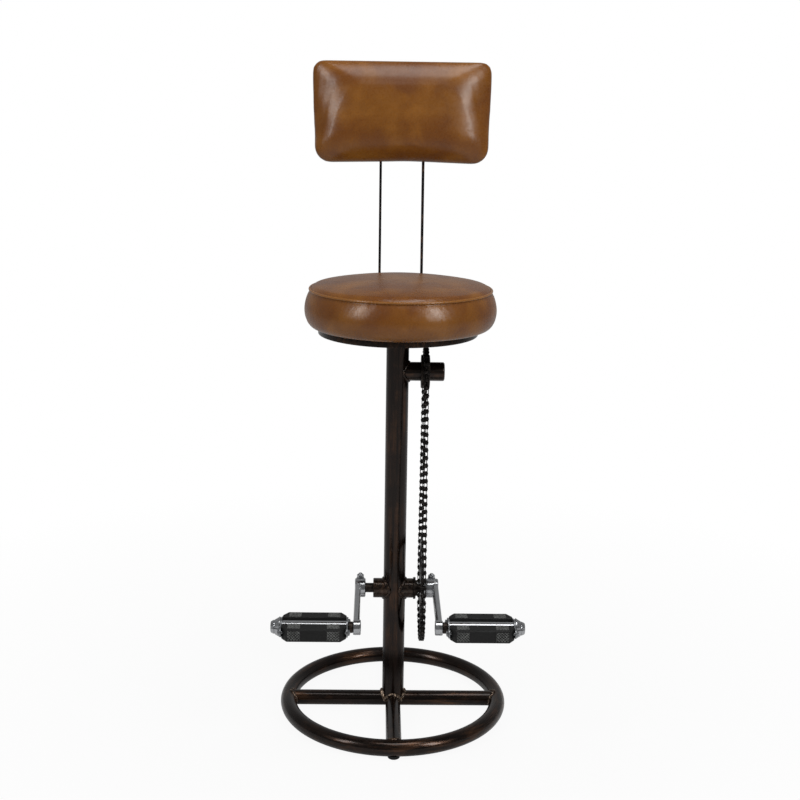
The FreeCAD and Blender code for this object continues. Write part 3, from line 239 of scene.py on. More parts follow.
def blend(tree, share, one, two):
    """From colour one to colour two; each is a hex text or a socket."""
    one, two = (linear(colour) if isinstance(colour, str) else colour for colour in (one, two))
    return add(tree, "ShaderNodeMix", {0: share, 6: one, 7: two}, data_type="RGBA").outputs[2]


def bump(tree, height, strength, depth):
    """A normal tilted by a relief that is depth metres deep."""
    return add(tree, "ShaderNodeBump", {"Strength": strength, "Distance": depth, "Height": height}).outputs[0]


def product(tree, one, two):
    """One value times another."""
    return add(tree, "ShaderNodeMath", {0: one, 1: two}, operation="MULTIPLY").outputs[0]


def finished(tree, inputs):
    """The surface of a material, led to its output."""
    surface = add(tree, "ShaderNodeBsdfPrincipled", inputs)
    add(tree, "ShaderNodeOutputMaterial", {"Surface": surface.outputs[0]})


bronze, tree, coords = blank("bronze_lacquer")
lay = add(tree, "ShaderNodeAttribute", attribute_name="lay").outputs["Vector"]
rub = add(tree, "ShaderNodeAttribute", attribute_name="rub").outputs["Fac"]
cloud = noise(tree, coords, 60, 4.0, 0.6)
streak = noise(tree, lay, 6, 5.0, 0.65)
fleck = noise(tree, coords, 5, 6.0, 0.7)
worn = ramp(tree, cloud, 0.45, 0.68, 0.0, 0.9)
line = ramp(tree, streak, 0.42, 0.68, 0.0, 1.0)
share = product(tree, worn, line)
spot = ramp(tree, fleck, 0.44, 0.6, 0.0, 0.9)
bared = product(tree, spot, rub)
tone = blend(tree, line, "#19110d", "#281c16")
paint = blend(tree, share, tone, "#5e3f28")
steel = blend(tree, bared, paint, "#b39c86")
gloss = ramp(tree, streak, 0.3, 0.7, 0.22, 0.34)
dent = bump(tree, streak, 0.15, 0.0003)
finished(tree, {
    "Base Color": steel, "Metallic": 0.85, "Roughness": gloss, "Normal": dent,
    "Coat Weight": 0.3, "Coat Roughness": 0.14,
})

ring_low, ring_high = extent("base_ring")
tube_radius = (ring_high[2] - ring_low[2]) / 2
ring_radius = ring_high[0] - tube_radius
ring_height = (ring_high[2] + ring_low[2]) / 2
turn = np.linspace(0, 2 * np.pi, RING_SIDES, endpoint=False)[:, None]
roll = np.linspace(0, 2 * np.pi, TUBE_SIDES, endpoint=False)[None]
reach = ring_radius + tube_radius * np.cos(roll)
ring_grid = np.stack([
    reach * np.cos(turn),
    reach * np.sin(turn),
    ring_height + tube_radius * np.sin(roll) + 0 * turn,
], -1)


def along_ring(points):
    """The ring's middle line drawn in to a tenth, so streaks run round the ring."""
    flat = points * [1, 1, 0]
    return points - 0.9 * ring_radius * flat / np.maximum(np.linalg.norm(flat, axis=1, keepdims=True), 1.0)


piece(
    "base_ring_tube", [shell(ring_grid, along=True)],
    bronze, ["base_ring"], lay=along_ring,
)

bar_low, bar_high = extent("side_crossbar")
bar_radius = (bar_high[2] - bar_low[2]) / 2
bar_reach = ring_radius - 0.3 * tube_radius
piece(
    "side_bar", [rod(2 * bar_reach, bar_radius, "X", (-bar_reach, 0, ring_height))],
    bronze, ["side_crossbar"], lay=lambda points: points * [0.1, 1, 1],
)
piece(
    "front_and_rear_bars",
    [
        rod(bar_reach, bar_radius, "Y", (0, 0, ring_height)),
        rod(bar_reach, bar_radius, "-Y", (0, 0, ring_height)),
    ],
    bronze, ["front_crossbar", "rear_crossbar"], lay=lambda points: points * [1, 0.1, 1],
)


# Weld beads: steel laid in overlapping coins round each joint, under the same lacquer.

BEAD_RADIUS = 3.1
COIN_LENGTH = 3.4


def weld(tube, host, direction, height, spread=1.0, swell=0.22):
    """A bead on the line where a tube meets its host.

    The line is at + (host(a, b), a, b) with a and b round the tube; the rope about it is
    centre + radius * (cos(v) * out + sin(v) * away), and its radius swells once a coin.
    """
    around = np.linspace(0, 2 * np.pi, 240, endpoint=False)
    aside, above = tube * np.cos(around), tube * np.sin(around)
    centre = np.stack([host(aside, above), aside, above], -1)
    run = np.roll(centre, -1, 0) - np.roll(centre, 1, 0)
    run /= np.linalg.norm(run, axis=1)[:, None]
    out = np.stack([0 * around, np.cos(around), np.sin(around)], -1)
    away = np.cross(run, out)
    coins = round(2 * math.pi * tube / COIN_LENGTH)
    beat = (around * coins / (2 * np.pi)) % 1
    radius = BEAD_RADIUS * spread * (0.86 + swell * np.sqrt(1 - beat) + 0.03 * np.sin(7 * around))
    v = np.linspace(0, 2 * np.pi, 14, endpoint=False)
    grid = centre[:, None] + radius[:, None, None] * (
        np.cos(v)[None, :, None] * out[:, None] + np.sin(v)[None, :, None] * away[:, None]
    )
    c, s = math.cos(math.radians(direction)), math.sin(math.radians(direction))
    grid = grid @ np.array([[c, s, 0], [-s, c, 0], [0, 0, 1.0]]) + np.array([0, 0, height])
    return shell(grid, along=True)


def ring_inside(aside, above):
    """Distance from the post's middle to the inner face of the ring."""
    inner = ring_radius - np.sqrt(tube_radius ** 2 - np.minimum(above ** 2, 0.97 * tube_radius ** 2))
    return np.sqrt(inner ** 2 - aside ** 2)


piece(
    "base_weld_beads",
    [weld(bar_radius, ring_inside, direction, ring_height, 0.85) for direction in (0, 90, 180, 270)],
    bronze, ["base_welds"], rub=0.35,
)


# Glides: black rubber pucks pushed onto the ring's underside, with a rounded foot.

rubber, tree, coords = blank("black_rubber")
speck = noise(tree, coords, 2.5, 6.0, 0.7)
scuff = noise(tree, coords, 30, 4.0)
shade = blend(tree, scuff, "#0c0c0c", "#161616")
# On the pedal treads rub marks the knurl crests, where a speckled painted highlight turns the black rubber
# pale grey.
rub = add(tree, "ShaderNodeAttribute", attribute_name="rub").outputs["Fac"]
speckled_sheen = ramp(tree, speck, 0.35, 0.6, 0.35, 1.0)
crest = product(tree, speckled_sheen, rub)
shade = blend(tree, crest, shade, "#7c7d7b")
dull = ramp(tree, speck, 0.3, 0.7, 0.5, 0.75)
pits = bump(tree, speck, 0.35, 0.0003)
finished(tree, {
    "Base Color": shade, "Roughness": dull, "Normal": pits,
    "Specular IOR Level": 0.3,
})

GLIDE_RADIUS = 10.0
glide_height = extent("glides")[1][2]
glide_profile = [
    (0, GLIDE_RADIUS - 1.6), (0.5, GLIDE_RADIUS - 0.6), (1.4, GLIDE_RADIUS), (glide_height, GLIDE_RADIUS),
]
piece(
    "glide_pucks",
    [
        turned(glide_profile, "Z", (x, y, 0), 32)
        for x, y in ((0, -ring_radius), (0, ring_radius), (-ring_radius, 0), (ring_radius, 0))
    ],
    rubber, ["glides"],
)


# Post: a straight steel tube astride the crossing bars, lacquered like the base, with the
# bracket shell through it, the stub near its top, and a bead round each joint.

post_low, post_high = extent("post")
post_radius = (post_high[0] - post_low[0]) / 2
piece(
    "post_tube",
    [rod(post_high[2] - post_low[2], post_radius, "Z", (0, 0, post_low[2]), sides=72)],
    bronze, ["post"], lay=lambda points: points * [1, 1, 0.05],
)

STUB_EDGE = 3.0
stub_low, stub_high = extent("chain_stub")
stub_radius = (stub_high[2] - stub_low[2]) / 2
stub_height = (stub_high[2] + stub_low[2]) / 2
bend = np.linspace(0, np.pi / 2, 6)
stub_profile = [(0, stub_radius)] + list(zip(
    stub_high[0] - STUB_EDGE + STUB_EDGE * np.sin(bend), stub_radius - STUB_EDGE + STUB_EDGE * np.cos(bend),
))
piece(
    "stub_tube", [turned(stub_profile, "X", (0, 0, stub_height))],
    bronze, ["chain_stub"], lay=lambda points: points * [0.1, 1, 1],
)

shell_low, shell_high = extent("bracket_shell")
shell_radius = (shell_high[2] - shell_low[2]) / 2
axle_height = (shell_high[2] + shell_low[2]) / 2
piece(
    "bracket_tube",
    [rod(shell_high[0] - shell_low[0], shell_radius, "X", (shell_low[0], 0, axle_height), edge=1.0)],
    bronze, ["bracket_shell"], lay=lambda points: points * [1, 0.1, 1], rub=0.08,
)


def post_face(aside, above):
    """Distance from the post's middle to its face."""
    return np.sqrt(post_radius ** 2 - aside ** 2)


def foot_weld():
    """The bead round the post's foot: it climbs over each bar it crosses.

    Height = the bars' tops at that turn, smoothed down to their sides between two bars.
    """
    around = np.linspace(0, 2 * np.pi, 320, endpoint=False)
    across = post_radius * np.minimum(np.abs(np.sin(around)), np.abs(np.cos(around)))
    height = ring_height + np.sqrt(np.maximum(bar_radius ** 2 - across ** 2, 9.0))
    out = np.stack([np.cos(around), np.sin(around), 0 * around], -1)
    centre = post_radius * out + np.array([0, 0, 1.0]) * height[:, None]
    coins = round(2 * math.pi * post_radius / COIN_LENGTH)
    beat = (around * coins / (2 * np.pi)) % 1
    v = np.linspace(0, 2 * np.pi, 14, endpoint=False)
    lump = 0.12 * np.sin(13 * around)[:, None] * np.cos(2 * v + 5 * np.sin(3 * around)[:, None])
    radius = BEAD_RADIUS * (1.2 + 0.3 * np.sqrt(1 - beat)[:, None] + lump)
    grid = centre[:, None] + radius[:, :, None] * (
        np.cos(v)[None, :, None] * out[:, None] + np.sin(v)[None, :, None] * np.array([0, 0, 1.0])
    )
    return shell(grid, along=True)


foot_bead = foot_weld()
SHELL_POINTS = 240 * 14
foot_rub = np.concatenate([np.full(len(foot_bead[0]), 0.9), np.full(3 * SHELL_POINTS, 0.05)])
piece(
    "post_weld_beads",
    [
        foot_bead,
        weld(stub_radius, post_face, 0, stub_height, 0.9, 0.1),
        weld(shell_radius, post_face, 0, axle_height, 1.1, 0.05),
        weld(shell_radius, post_face, 180, axle_height, 1.1, 0.05),
    ],
    bronze, ["post_welds"], rub=foot_rub,
)


# Bottom bracket: cups and a slotted lock ring of turned steel, dark with old oil, and the
# round axle that comes out of both ends.

oiled, tree, coords = blank("oiled_steel")
grime = noise(tree, coords, 6, 6.0, 0.65)
patch = ramp(tree, grime, 0.4, 0.7, 0.0, 1.0)
shade = blend(tree, patch, "#231e1c", "#4a423c")
slick = ramp(tree, grime, 0.3, 0.7, 0.28, 0.5)
finished(tree, {
    "Base Color": shade, "Metallic": 0.9, "Roughness": slick,
})

axle_low, axle_high = extent("crank_axle")
axle_radius = (axle_high[2] - axle_low[2]) / 2
piece(
    "axle_bar",
    [rod(axle_high[0] - axle_low[0], axle_radius, "X", (axle_low[0], 0, axle_height), edge=0.8)],
    oiled, ["crank_axle"],
)
for side in ("left", "right"):
    cup_low, cup_high = extent(side + "_bearing_cup")
    cup_radius = (cup_high[2] - cup_low[2]) / 2
    length = cup_high[0] - cup_low[0]
    piece(
        side + "_cup",
        [turned(
            [(0, cup_radius), (length - 0.6, cup_radius), (length, cup_radius - 0.6),
             (length, axle_radius + 0.1), (0, axle_radius + 0.1)],
            "X", (cup_low[0], 0, axle_height), hollow=True,
        )],
        oiled, [side + "_bearing_cup"],
    )

lock_low, lock_high = extent("lock_ring")
lock_radius = (lock_high[2] - lock_low[2]) / 2
lock_width = lock_high[0] - lock_low[0]
LOCK_SLOTS = 4
SLOT_HALF = 0.11
SLOT_DEPTH = 1.2
lock_turn = np.sort(np.concatenate([
    np.linspace(0, 2 * np.pi, 64, endpoint=False),
    *[np.pi / 4 + slot * np.pi / 2 + np.array([-SLOT_HALF, -SLOT_HALF + 0.002, SLOT_HALF - 0.002, SLOT_HALF])
      for slot in range(LOCK_SLOTS)],
]))
slotted = np.abs((lock_turn % (np.pi / 2)) - np.pi / 4) < SLOT_HALF - 0.001
rim = lock_radius - SLOT_DEPTH * slotted
lock_rows = [
    (0.0, rim - 0.4), (0.4, rim), (lock_width - 0.4, rim), (lock_width, rim - 0.4),
    (lock_width, 0 * rim + cup_radius), (0.0, 0 * rim + cup_radius),
]
lock_grid = np.stack([
    np.stack([
        lock_low[0] + s + 0 * radius, radius * np.cos(lock_turn), axle_height + radius * np.sin(lock_turn),
    ], -1)
    for s, radius in lock_rows
])
piece("lock_ring_slotted", [shell(lock_grid, along=True)], oiled, ["lock_ring"])


# Cranks: drop-forged steel with a worn chrome plate, each a boss on the axle, a flat arm
# with round edges and a pedal eye, wedged on by a cotter pin with its washer and nut.

chrome, tree, coords = blank("worn_chrome")
haze = noise(tree, coords, 14, 6.0, 0.65)
pock = noise(tree, coords, 2, 3.0)
spot = ramp(tree, pock, 0.62, 0.7, 0.0, 0.8)
tone = blend(tree, haze, "#a3a4a6", "#c9cbce")
plate = blend(tree, spot, tone, "#5f4a3a")
satin = ramp(tree, haze, 0.35, 0.7, 0.12, 0.3)
dimple = bump(tree, pock, 0.1, 0.0002)
finished(tree, {
    "Base Color": plate, "Metallic": 1.0, "Roughness": satin, "Normal": dimple,
})

CRANK_LENGTH = 170.0
BOSS_RADIUS = 16.0
EYE_RADIUS = 12.0
EYE_WIDTH = 12.0
ARM_THICKNESS = 10.0
ARM_ROOT = 25.0
ARM_TIP = 19.0
BOSS_WIDTHS = {"left": 18.0, "right": 22.0}
NECK_RADIUS = 13.0
SPIGOT_RADIUS = 11.0
SPIGOT_LENGTH = 2.6
COTTER_BACK = 9.6
COTTER_LUG = 13.6
LUG_RADIUS = 7.25
PIN_SHANK = 4.75
PIN_THREAD = 3.2
NUT_FLATS = 10.0
WASHER_THICK = 1.4
WASHER_RADIUS = 6.25


def arm(x):
    """A crank arm: at each y a squared oval of half sizes (thickness / 2, height / 2).

    Point = (x + a * sign(cos v) * |cos v|^0.5, y, z + b * sign(sin v) * |sin v|^0.5), with b
    falling from root to tip.
    """
    along = np.linspace(0, 1, 24)[:, None]
    v = np.linspace(0, 2 * np.pi, 36, endpoint=False)[None]
    half = (ARM_ROOT + (ARM_TIP - ARM_ROOT) * along) / 2
    side = np.sign(np.cos(v)) * np.sqrt(np.abs(np.cos(v))) * ARM_THICKNESS / 2
    grid = np.stack([
        x + side + 0 * along,
        -CRANK_LENGTH * along + 0 * v,
        axle_height + half * np.sign(np.sin(v)) * np.sqrt(np.abs(np.sin(v))),
    ], -1)
    return shell(grid)


for side, sign in (("left", -1), ("right", 1)):
    crank_low, crank_high = extent(side + "_crank")
    face = crank_low[0] if sign < 0 else crank_high[0]
    boss_width = BOSS_WIDTHS[side]
    inner = face - sign * boss_width
    axis = "X" if sign > 0 else "-X"
    middle = (face + inner) / 2
    forging = [
        turned(
            [(0, BOSS_RADIUS - 1.5), (1.0, BOSS_RADIUS - 0.2), (2.5, BOSS_RADIUS),
             (boss_width - 2.5, BOSS_RADIUS), (boss_width - 0.8, BOSS_RADIUS - 0.4),
             (boss_width, BOSS_RADIUS - 1.8),
             (boss_width, axle_radius + 0.6), (boss_width - 0.6, axle_radius), (0.6, axle_radius),
             (0, axle_radius + 0.6)],
            axis, (inner, 0, axle_height), hollow=True,
        ),
        rod(2 * COTTER_LUG, LUG_RADIUS, "Z", (middle, COTTER_BACK, axle_height - COTTER_LUG), edge=0.6),
        arm(face - sign * ARM_THICKNESS / 2),
        rod(EYE_WIDTH, EYE_RADIUS, axis, (face - sign * EYE_WIDTH, -CRANK_LENGTH, axle_height), edge=1.2),
    ]
    if sign > 0:
        forging.append(turned(
            [(0, SPIGOT_RADIUS), (SPIGOT_LENGTH, SPIGOT_RADIUS), (SPIGOT_LENGTH, NECK_RADIUS),
             (inner - crank_low[0] + 0.5, NECK_RADIUS)],
            "X", (crank_low[0], 0, axle_height),
        ))
    piece(side + "_crank_forging", forging, chrome, [side + "_crank"])

    pin_low, pin_high = extent(side + "_cotter_pin")
    nut_low, nut_high = extent(side + "_cotter_nut")
    piece(
        side + "_cotter",
        [
            rod(nut_low[2] - pin_low[2], PIN_SHANK, "Z", (middle, COTTER_BACK, pin_low[2]), edge=0.8),
            rod(
                pin_high[2] - nut_low[2], PIN_THREAD, "Z", (middle, COTTER_BACK, nut_low[2]),
                edge=0.7, sides=24,
            ),
        ],
        chrome, [side + "_cotter_pin"],
    )
    nut_radius = NUT_FLATS / math.sqrt(3)
    nut_height = nut_high[2] - nut_low[2] - WASHER_THICK
    nut = turned(
        [(0, nut_radius), (nut_height - 0.9, nut_radius), (nut_height, nut_radius - 0.8)],
        "Z", (middle, COTTER_BACK, nut_low[2] + WASHER_THICK), 6,
    )
    washer = rod(WASHER_THICK, WASHER_RADIUS, "Z", (middle, COTTER_BACK, nut_low[2]), edge=0.3)
    piece(side + "_cotter_nut_stack", [washer, nut], chrome, [side + "_cotter_nut"], sharp=25)


# Chain: bushed roller chain, black with oil, worn bright on the edges of its plates. It
# runs round the chainring and the freewheel in whole links, so a roller sits in each gap.

CHAIN_PITCH = 12.7
CHAINRING_TEETH = 42
FREEWHEEL_TEETH = 18
CHAIN_CENTRES = 378.0
ROLLER_RADIUS = 3.875
ROLLER_WIDTH = 3.3
PLATE_THICK = 1.2
PLATE_HALF = 4.2
PLATE_WAIST = 2.9
PIN_RADIUS = 1.9
PIN_HEAD = 0.8
LINK_PLAY = 0.05

black_chain, tree, coords = blank("chain_steel")
grime = noise(tree, coords, 4, 5.0, 0.7)
bare = ramp(tree, grime, 0.52, 0.68, 0.0, 1.0)
shade = blend(tree, bare, "#1c1918", "#4f4945")
slick = ramp(tree, bare, 0.0, 1.0, 0.42, 0.26)
finished(tree, {
    "Base Color": shade, "Metallic": 0.85, "Roughness": slick,
})


def chain_route():
    """Roller centres (y, z) about the axle, one pitch apart, and the number in each arc.

    On a sprocket a roller is at radius * (sin(turn), cos(turn)) in even steps about the
    vertical; the two straight runs have a whole number of links and set the distance.
    """
    low_step, top_step = 2 * math.pi / CHAINRING_TEETH, 2 * math.pi / FREEWHEEL_TEETH
    low_radius = CHAIN_PITCH / 2 / math.sin(low_step / 2)
    top_radius = CHAIN_PITCH / 2 / math.sin(top_step / 2)
    lean = math.asin((low_radius - top_radius) / CHAIN_CENTRES)
    top_links = int((math.pi - 2 * lean) / top_step)
    low_links = int((math.pi + 2 * lean) / low_step)
    low_links -= (top_links + low_links) % 2
    top_turn, low_turn = top_links * top_step / 2, low_links * low_step / 2
    top_end = np.array([math.sin(top_turn), math.cos(top_turn)]) * top_radius
    low_end = np.array([math.sin(low_turn), -math.cos(low_turn)]) * low_radius
    run = round(math.hypot(low_end[0] - top_end[0], CHAIN_CENTRES + top_end[1] - low_end[1]) / CHAIN_PITCH)
    drop = math.sqrt((run * CHAIN_PITCH) ** 2 - (low_end[0] - top_end[0]) ** 2)
    centre = np.array([0, drop + low_end[1] - top_end[1]])
    over = -top_turn + np.arange(top_links) * top_step
    under = low_turn - np.arange(low_links) * low_step
    share = (np.arange(run) / run)[:, None]
    mirror = np.array([-1.0, 1.0])
    return np.concatenate([
        centre + top_radius * np.stack([np.sin(over), np.cos(over)], -1),
        centre + top_end + share * (low_end - top_end - centre),
        low_radius * np.stack([np.sin(under), -np.cos(under)], -1),
        low_end * mirror + share * (centre + top_end * mirror - low_end * mirror),
    ])


def link_plate(x, thick):
    """A side plate: round ends of radius h about two pins, joined by a waist."""
    end = np.radians(np.array([62.0, 25.0, -25.0, -62.0]))
    tip = np.stack([CHAIN_PITCH + PLATE_HALF * np.cos(end), PLATE_HALF * np.sin(end)], -1)
    tail = np.stack([-PLATE_HALF * np.cos(end[::-1]), PLATE_HALF * np.sin(end[::-1])], -1)
    waist = np.array([[CHAIN_PITCH / 2, -PLATE_WAIST]])
    outline = np.concatenate([tip, waist, tail, -waist + [[CHAIN_PITCH, 0]]])
    rows = [np.column_stack([np.full(len(outline), s), outline]) for s in (x, x + thick)]
    return shell(np.stack(rows))


chain_x = (extent("freewheel_sprocket")[0][0] + extent("freewheel_sprocket")[1][0]) / 2
half = ROLLER_WIDTH / 2
outer_x = half + PLATE_THICK + LINK_PLAY
inner_link = [link_plate(-half - PLATE_THICK, PLATE_THICK), link_plate(half, PLATE_THICK)] + [
    turned([(0, ROLLER_RADIUS), (ROLLER_WIDTH, ROLLER_RADIUS)], "X", (-half, y, 0), 12)
    for y in (0, CHAIN_PITCH)
]
outer_link = [link_plate(-outer_x - PLATE_THICK, PLATE_THICK), link_plate(outer_x, PLATE_THICK)] + [
    turned([(0, PIN_RADIUS), (PIN_HEAD * 0.6, PIN_RADIUS), (PIN_HEAD, PIN_RADIUS * 0.6)], axis, (x, y, 0), 10)
    for axis, x in (("X", outer_x + PLATE_THICK), ("-X", -outer_x - PLATE_THICK)) for y in (0, CHAIN_PITCH)
]
route = chain_route()
ahead = np.roll(route, -1, 0) - route
slope = np.arctan2(ahead[:, 1], ahead[:, 0])


def laid(link, first):
    """Copies of a link on every second roller: rotate(slope) about X, then move there."""
    copies = []
    for (y, z), lean in list(zip(route, slope))[first::2]:
        c, s = math.cos(lean), math.sin(lean)
        spin = np.array([[1, 0, 0], [0, c, s], [0, -s, c]])
        copies += [(points @ spin + [chain_x, y, z + axle_height], faces) for points, faces in link]
    return copies


piece("inner_links", laid(inner_link, 0), black_chain, ["chain_inner_links"])
piece("outer_links", laid(outer_link, 1), black_chain, ["chain_outer_links"])


# Sprockets: stamped and hobbed steel discs with a tooth between each two rollers; the
# chainring's five arms are stamped out of the disc. Their solids have the true teeth.


def dress(material, *nodes):
    """A material for CAD nodes that keep their own shape."""
    for node in nodes:
        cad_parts[node].data.materials.clear()
        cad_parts[node].data.materials.append(material)


dress(black_chain, "chainring", "freewheel_sprocket")


# Freewheel: the ratchet housing on the stub, with the groove of its cover; its two holes
# for the pin spanner are not drawn.

GROOVE_OUTER = 23.5
GROOVE_INNER = 22.0
wheel_low, wheel_high = extent("freewheel_body")
wheel_radius = (wheel_high[2] - wheel_low[2]) / 2
wheel_width = wheel_high[0] - wheel_low[0]
wheel_profile = [
    (0, stub_radius), (0, wheel_radius - 0.8), (0.8, wheel_radius), (wheel_width - 0.8, wheel_radius),
    (wheel_width, wheel_radius - 0.8), (wheel_width, GROOVE_OUTER), (wheel_width - 1, GROOVE_OUTER),
    (wheel_width - 1, GROOVE_INNER), (wheel_width, GROOVE_INNER), (wheel_width, stub_radius),
]
piece(
    "freewheel_housing",
    [turned(wheel_profile, "X", (wheel_low[0], 0, stub_height), 64, hollow=True)],
    oiled, ["freewheel_body"],
)


# Seat pan: a shallow dish of sheet steel with a rolled edge, lacquered like the post. It
# carries the plywood board, held by four wood screws from below.

PAN_WALL = 2.0
PAN_PLATE = 3.0
pan_low, pan_high = extent("seat_pan")
pan_radius = (pan_high[0] - pan_low[0]) / 2
pan_rim = pan_high[2] - pan_low[2]
bend = np.linspace(0, np.pi / 2, 7)
pan_profile = (
    [(0.0, pan_radius - PAN_WALL), (0.0, pan_radius - 0.6), (0.6, pan_radius)]
    + list(zip(pan_rim - PAN_WALL + PAN_WALL * np.sin(bend), pan_radius - PAN_WALL + PAN_WALL * np.cos(bend)))
    + [(pan_rim, 0.0), (pan_rim - PAN_PLATE, 0.0), (pan_rim - PAN_PLATE, pan_radius - PAN_WALL - 1.5)]
    + [(pan_rim - PAN_PLATE - 1.0, pan_radius - PAN_WALL)]
)
piece(
    "pan_dish", [turned(pan_profile, "Z", (0, 0, pan_low[2]), 128, hollow=True)],
    bronze, ["seat_pan"],
)

zinc, tree, coords = blank("zinc_steel")
film = noise(tree, coords, 5, 4.0)
tone = blend(tree, film, "#7e8082", "#a4a6a8")
matt = ramp(tree, film, 0.3, 0.7, 0.3, 0.48)
finished(tree, {
    "Base Color": tone, "Metallic": 1.0, "Roughness": matt,
})

plywood, tree, coords = blank("birch_plywood")
ply = add(tree, "ShaderNodeMapping", {"Vector": coords, "Scale": (1000 / 40, 1000 / 3, 1000 / 1.4)})
grain = noise(tree, ply.outputs[0], 1000, 5.0)
tone = blend(tree, grain, "#a98255", "#d1ae7e")
finished(tree, {"Base Color": tone, "Roughness": 0.6})

dress(zinc, "seat_screws", "back_screws")
dress(plywood, "seat_board", "back_board")


# Seat cushion: full-grain cowhide, dyed tan and waxed by hand, over foam. A round top panel
# and a side band meet in a piped seam; the band is pulled under and stapled to the board.

leather, tree, coords = blank("waxed_leather")
rub = add(tree, "ShaderNodeAttribute", attribute_name="rub").outputs["Fac"]
dye = noise(tree, coords, 90, 2.0, 0.5)
wax = noise(tree, coords, 45, 5.0, 0.55, 0.5)
grain = add(tree, "ShaderNodeTexVoronoi", {"Vector": coords, "Scale": 1000 / 1.6}, feature="DISTANCE_TO_EDGE")
crease = noise(tree, coords, 7, 6.0, 0.7)
deep = ramp(tree, dye, 0.38, 0.62, 0.0, 1.0)
pale = ramp(tree, wax, 0.5, 0.75, 0.0, 0.8)
dark = ramp(tree, wax, 0.48, 0.28, 0.0, 0.7)
hide = blend(tree, deep, "#683b0c", "#734611")
lit = blend(tree, pale, hide, "#82521b")
aged = blend(tree, dark, lit, "#5a3110")
edge = blend(tree, rub, aged, "#8a5a24")
polish = ramp(tree, crease, 0.3, 0.7, 0.23, 0.33)
pores = ramp(tree, grain.outputs["Distance"], 0.0, 0.12, 0.0, 1.0)
relief = add(
    tree, "ShaderNodeMath", {0: pores, 1: 0.25, 2: crease}, operation="MULTIPLY_ADD",
).outputs[0]
skin = bump(tree, relief, 0.16, 0.0004)
finished(tree, {
    "Base Color": edge, "Roughness": polish, "Normal": skin,
    "Specular IOR Level": 0.45,
})

SEAM_RADIUS = 146.5
SEAM_RISE = 60.5
SEAT_TOP = 74.0
PIPING_RADIUS = 2.1
SEAM_DEPTH = 1.6
VOXEL = 5.0
EVEN_OUT = 14


def held_still(points):
    """Which points of the seat are sewn or stapled: near the seam and under the board."""
    radius = np.hypot(points[:, 0] - seat_middle, points[:, 1])
    seam = np.hypot(radius - SEAM_RADIUS, points[:, 2] - seat_base - SEAM_RISE) < 4.5
    return seam | ((points[:, 2] < seat_base + 6) & (radius < 138))


def stuffed(start, held, cap):
    """Foam pushing leather out: an even remesh of the shape, then cloth with air inside.

    held marks the points that stay; the others move by at most cap, and each move is
    averaged with its neighbours' so foam, not air, seems to fill the leather.
    """
    even = start.modifiers.new("even", "REMESH")
    even.mode = "VOXEL"
    even.voxel_size = VOXEL / 1000
    seen = bpy.context.evaluated_depsgraph_get()
    mesh = bpy.data.meshes.new_from_object(start.evaluated_get(seen))
    start.modifiers.remove(even)
    mesh.materials.clear()
    mesh.materials.append(start.data.materials[0])
    start.data = mesh
    before = np.empty(len(mesh.vertices) * 3)
    mesh.vertices.foreach_get("co", before)
    before = before.reshape(-1, 3)
    fixed = held(before * 1000)
    group = start.vertex_groups.new(name="held")
    group.add(np.flatnonzero(fixed).tolist(), 1.0, "REPLACE")
    cloth = start.modifiers.new("air", "CLOTH")
    cloth.settings.quality = 6
    cloth.settings.vertex_group_mass = "held"
    cloth.settings.use_pressure = True
    cloth.settings.uniform_pressure_force = 4.0
    cloth.settings.tension_stiffness = 25.0
    cloth.settings.compression_stiffness = 25.0
    cloth.settings.bending_stiffness = 2.0
    cloth.settings.effector_weights.gravity = 0.0
    for step in range(1, 21):
        bpy.context.scene.frame_set(step)
    seen = bpy.context.evaluated_depsgraph_get()
    blown = start.evaluated_get(seen).to_mesh()
    after = np.empty(len(blown.vertices) * 3)
    blown.vertices.foreach_get("co", after)
    start.evaluated_get(seen).to_mesh_clear()
    start.modifiers.remove(cloth)
    bpy.context.scene.frame_set(1)
    shift = after.reshape(-1, 3) - before
    length = np.linalg.norm(shift, axis=1, keepdims=True)
    shift *= np.minimum(1.0, cap / 1000 / np.maximum(length, 1e-9))
    ends = np.empty(len(mesh.edges) * 2, np.int32)
    mesh.edges.foreach_get("vertices", ends)
    one, two = ends.reshape(-1, 2).T
    count = np.bincount(ends, minlength=len(shift))[:, None]
    for _ in range(EVEN_OUT):
        total = np.stack([
            np.bincount(one, shift[two, axis], len(shift)) + np.bincount(two, shift[one, axis], len(shift))
            for axis in range(3)
        ], -1)
        shift = np.where(fixed[:, None], 0, total / np.maximum(count, 1))
    mesh.vertices.foreach_set("co", (before + shift).ravel())
    start.vertex_groups.clear()


def soft_finish(thing, levels=1):
    """Smooth shading and subdivision for a padded piece."""
    thing.data.polygons.foreach_set("use_smooth", np.ones(len(thing.data.polygons), bool))
    rounder = thing.modifiers.new("rounder", "SUBSURF")
    rounder.levels = levels
    rounder.render_levels = levels


seat_low, seat_high = extent("seat_cushion")
seat_base = seat_low[2]
seat_middle = (seat_low[0] + seat_high[0]) / 2
BAND_CURVE = (
    (0.3, 0.0), (0.3, 128.0), (0.0, 131.5), (-1.2, 134.5), (-1.0, 139.0), (0.8, 143.5), (4.0, 147.8),
    (9.0, 151.4), (16.0, 154.2), (25.0, 155.9), (34.0, 155.7), (43.0, 153.8), (51.0, 151.2), (57.5, 148.4),
    (SEAM_RISE, SEAM_RADIUS),
)
run = np.linspace(0, np.pi / 2, 14)[1:]
top_curve = [
    (SEAM_RISE + (SEAT_TOP - SEAM_RISE) * math.sin(v) ** 0.5, SEAM_RADIUS * math.cos(v)) for v in run
]
seat_profile = list(BAND_CURVE) + top_curve
cushion = piece(
    "seat_leather", [turned(seat_profile, "Z", (seat_middle, 0, seat_base), 160)],
    leather, ["seat_cushion"],
)
stuffed(cushion, held_still, 5.0)
places = np.empty(len(cushion.data.vertices) * 3)
cushion.data.vertices.foreach_get("co", places)
places = places.reshape(-1, 3) * 1000
across = places[:, :2] - [seat_middle, 0]
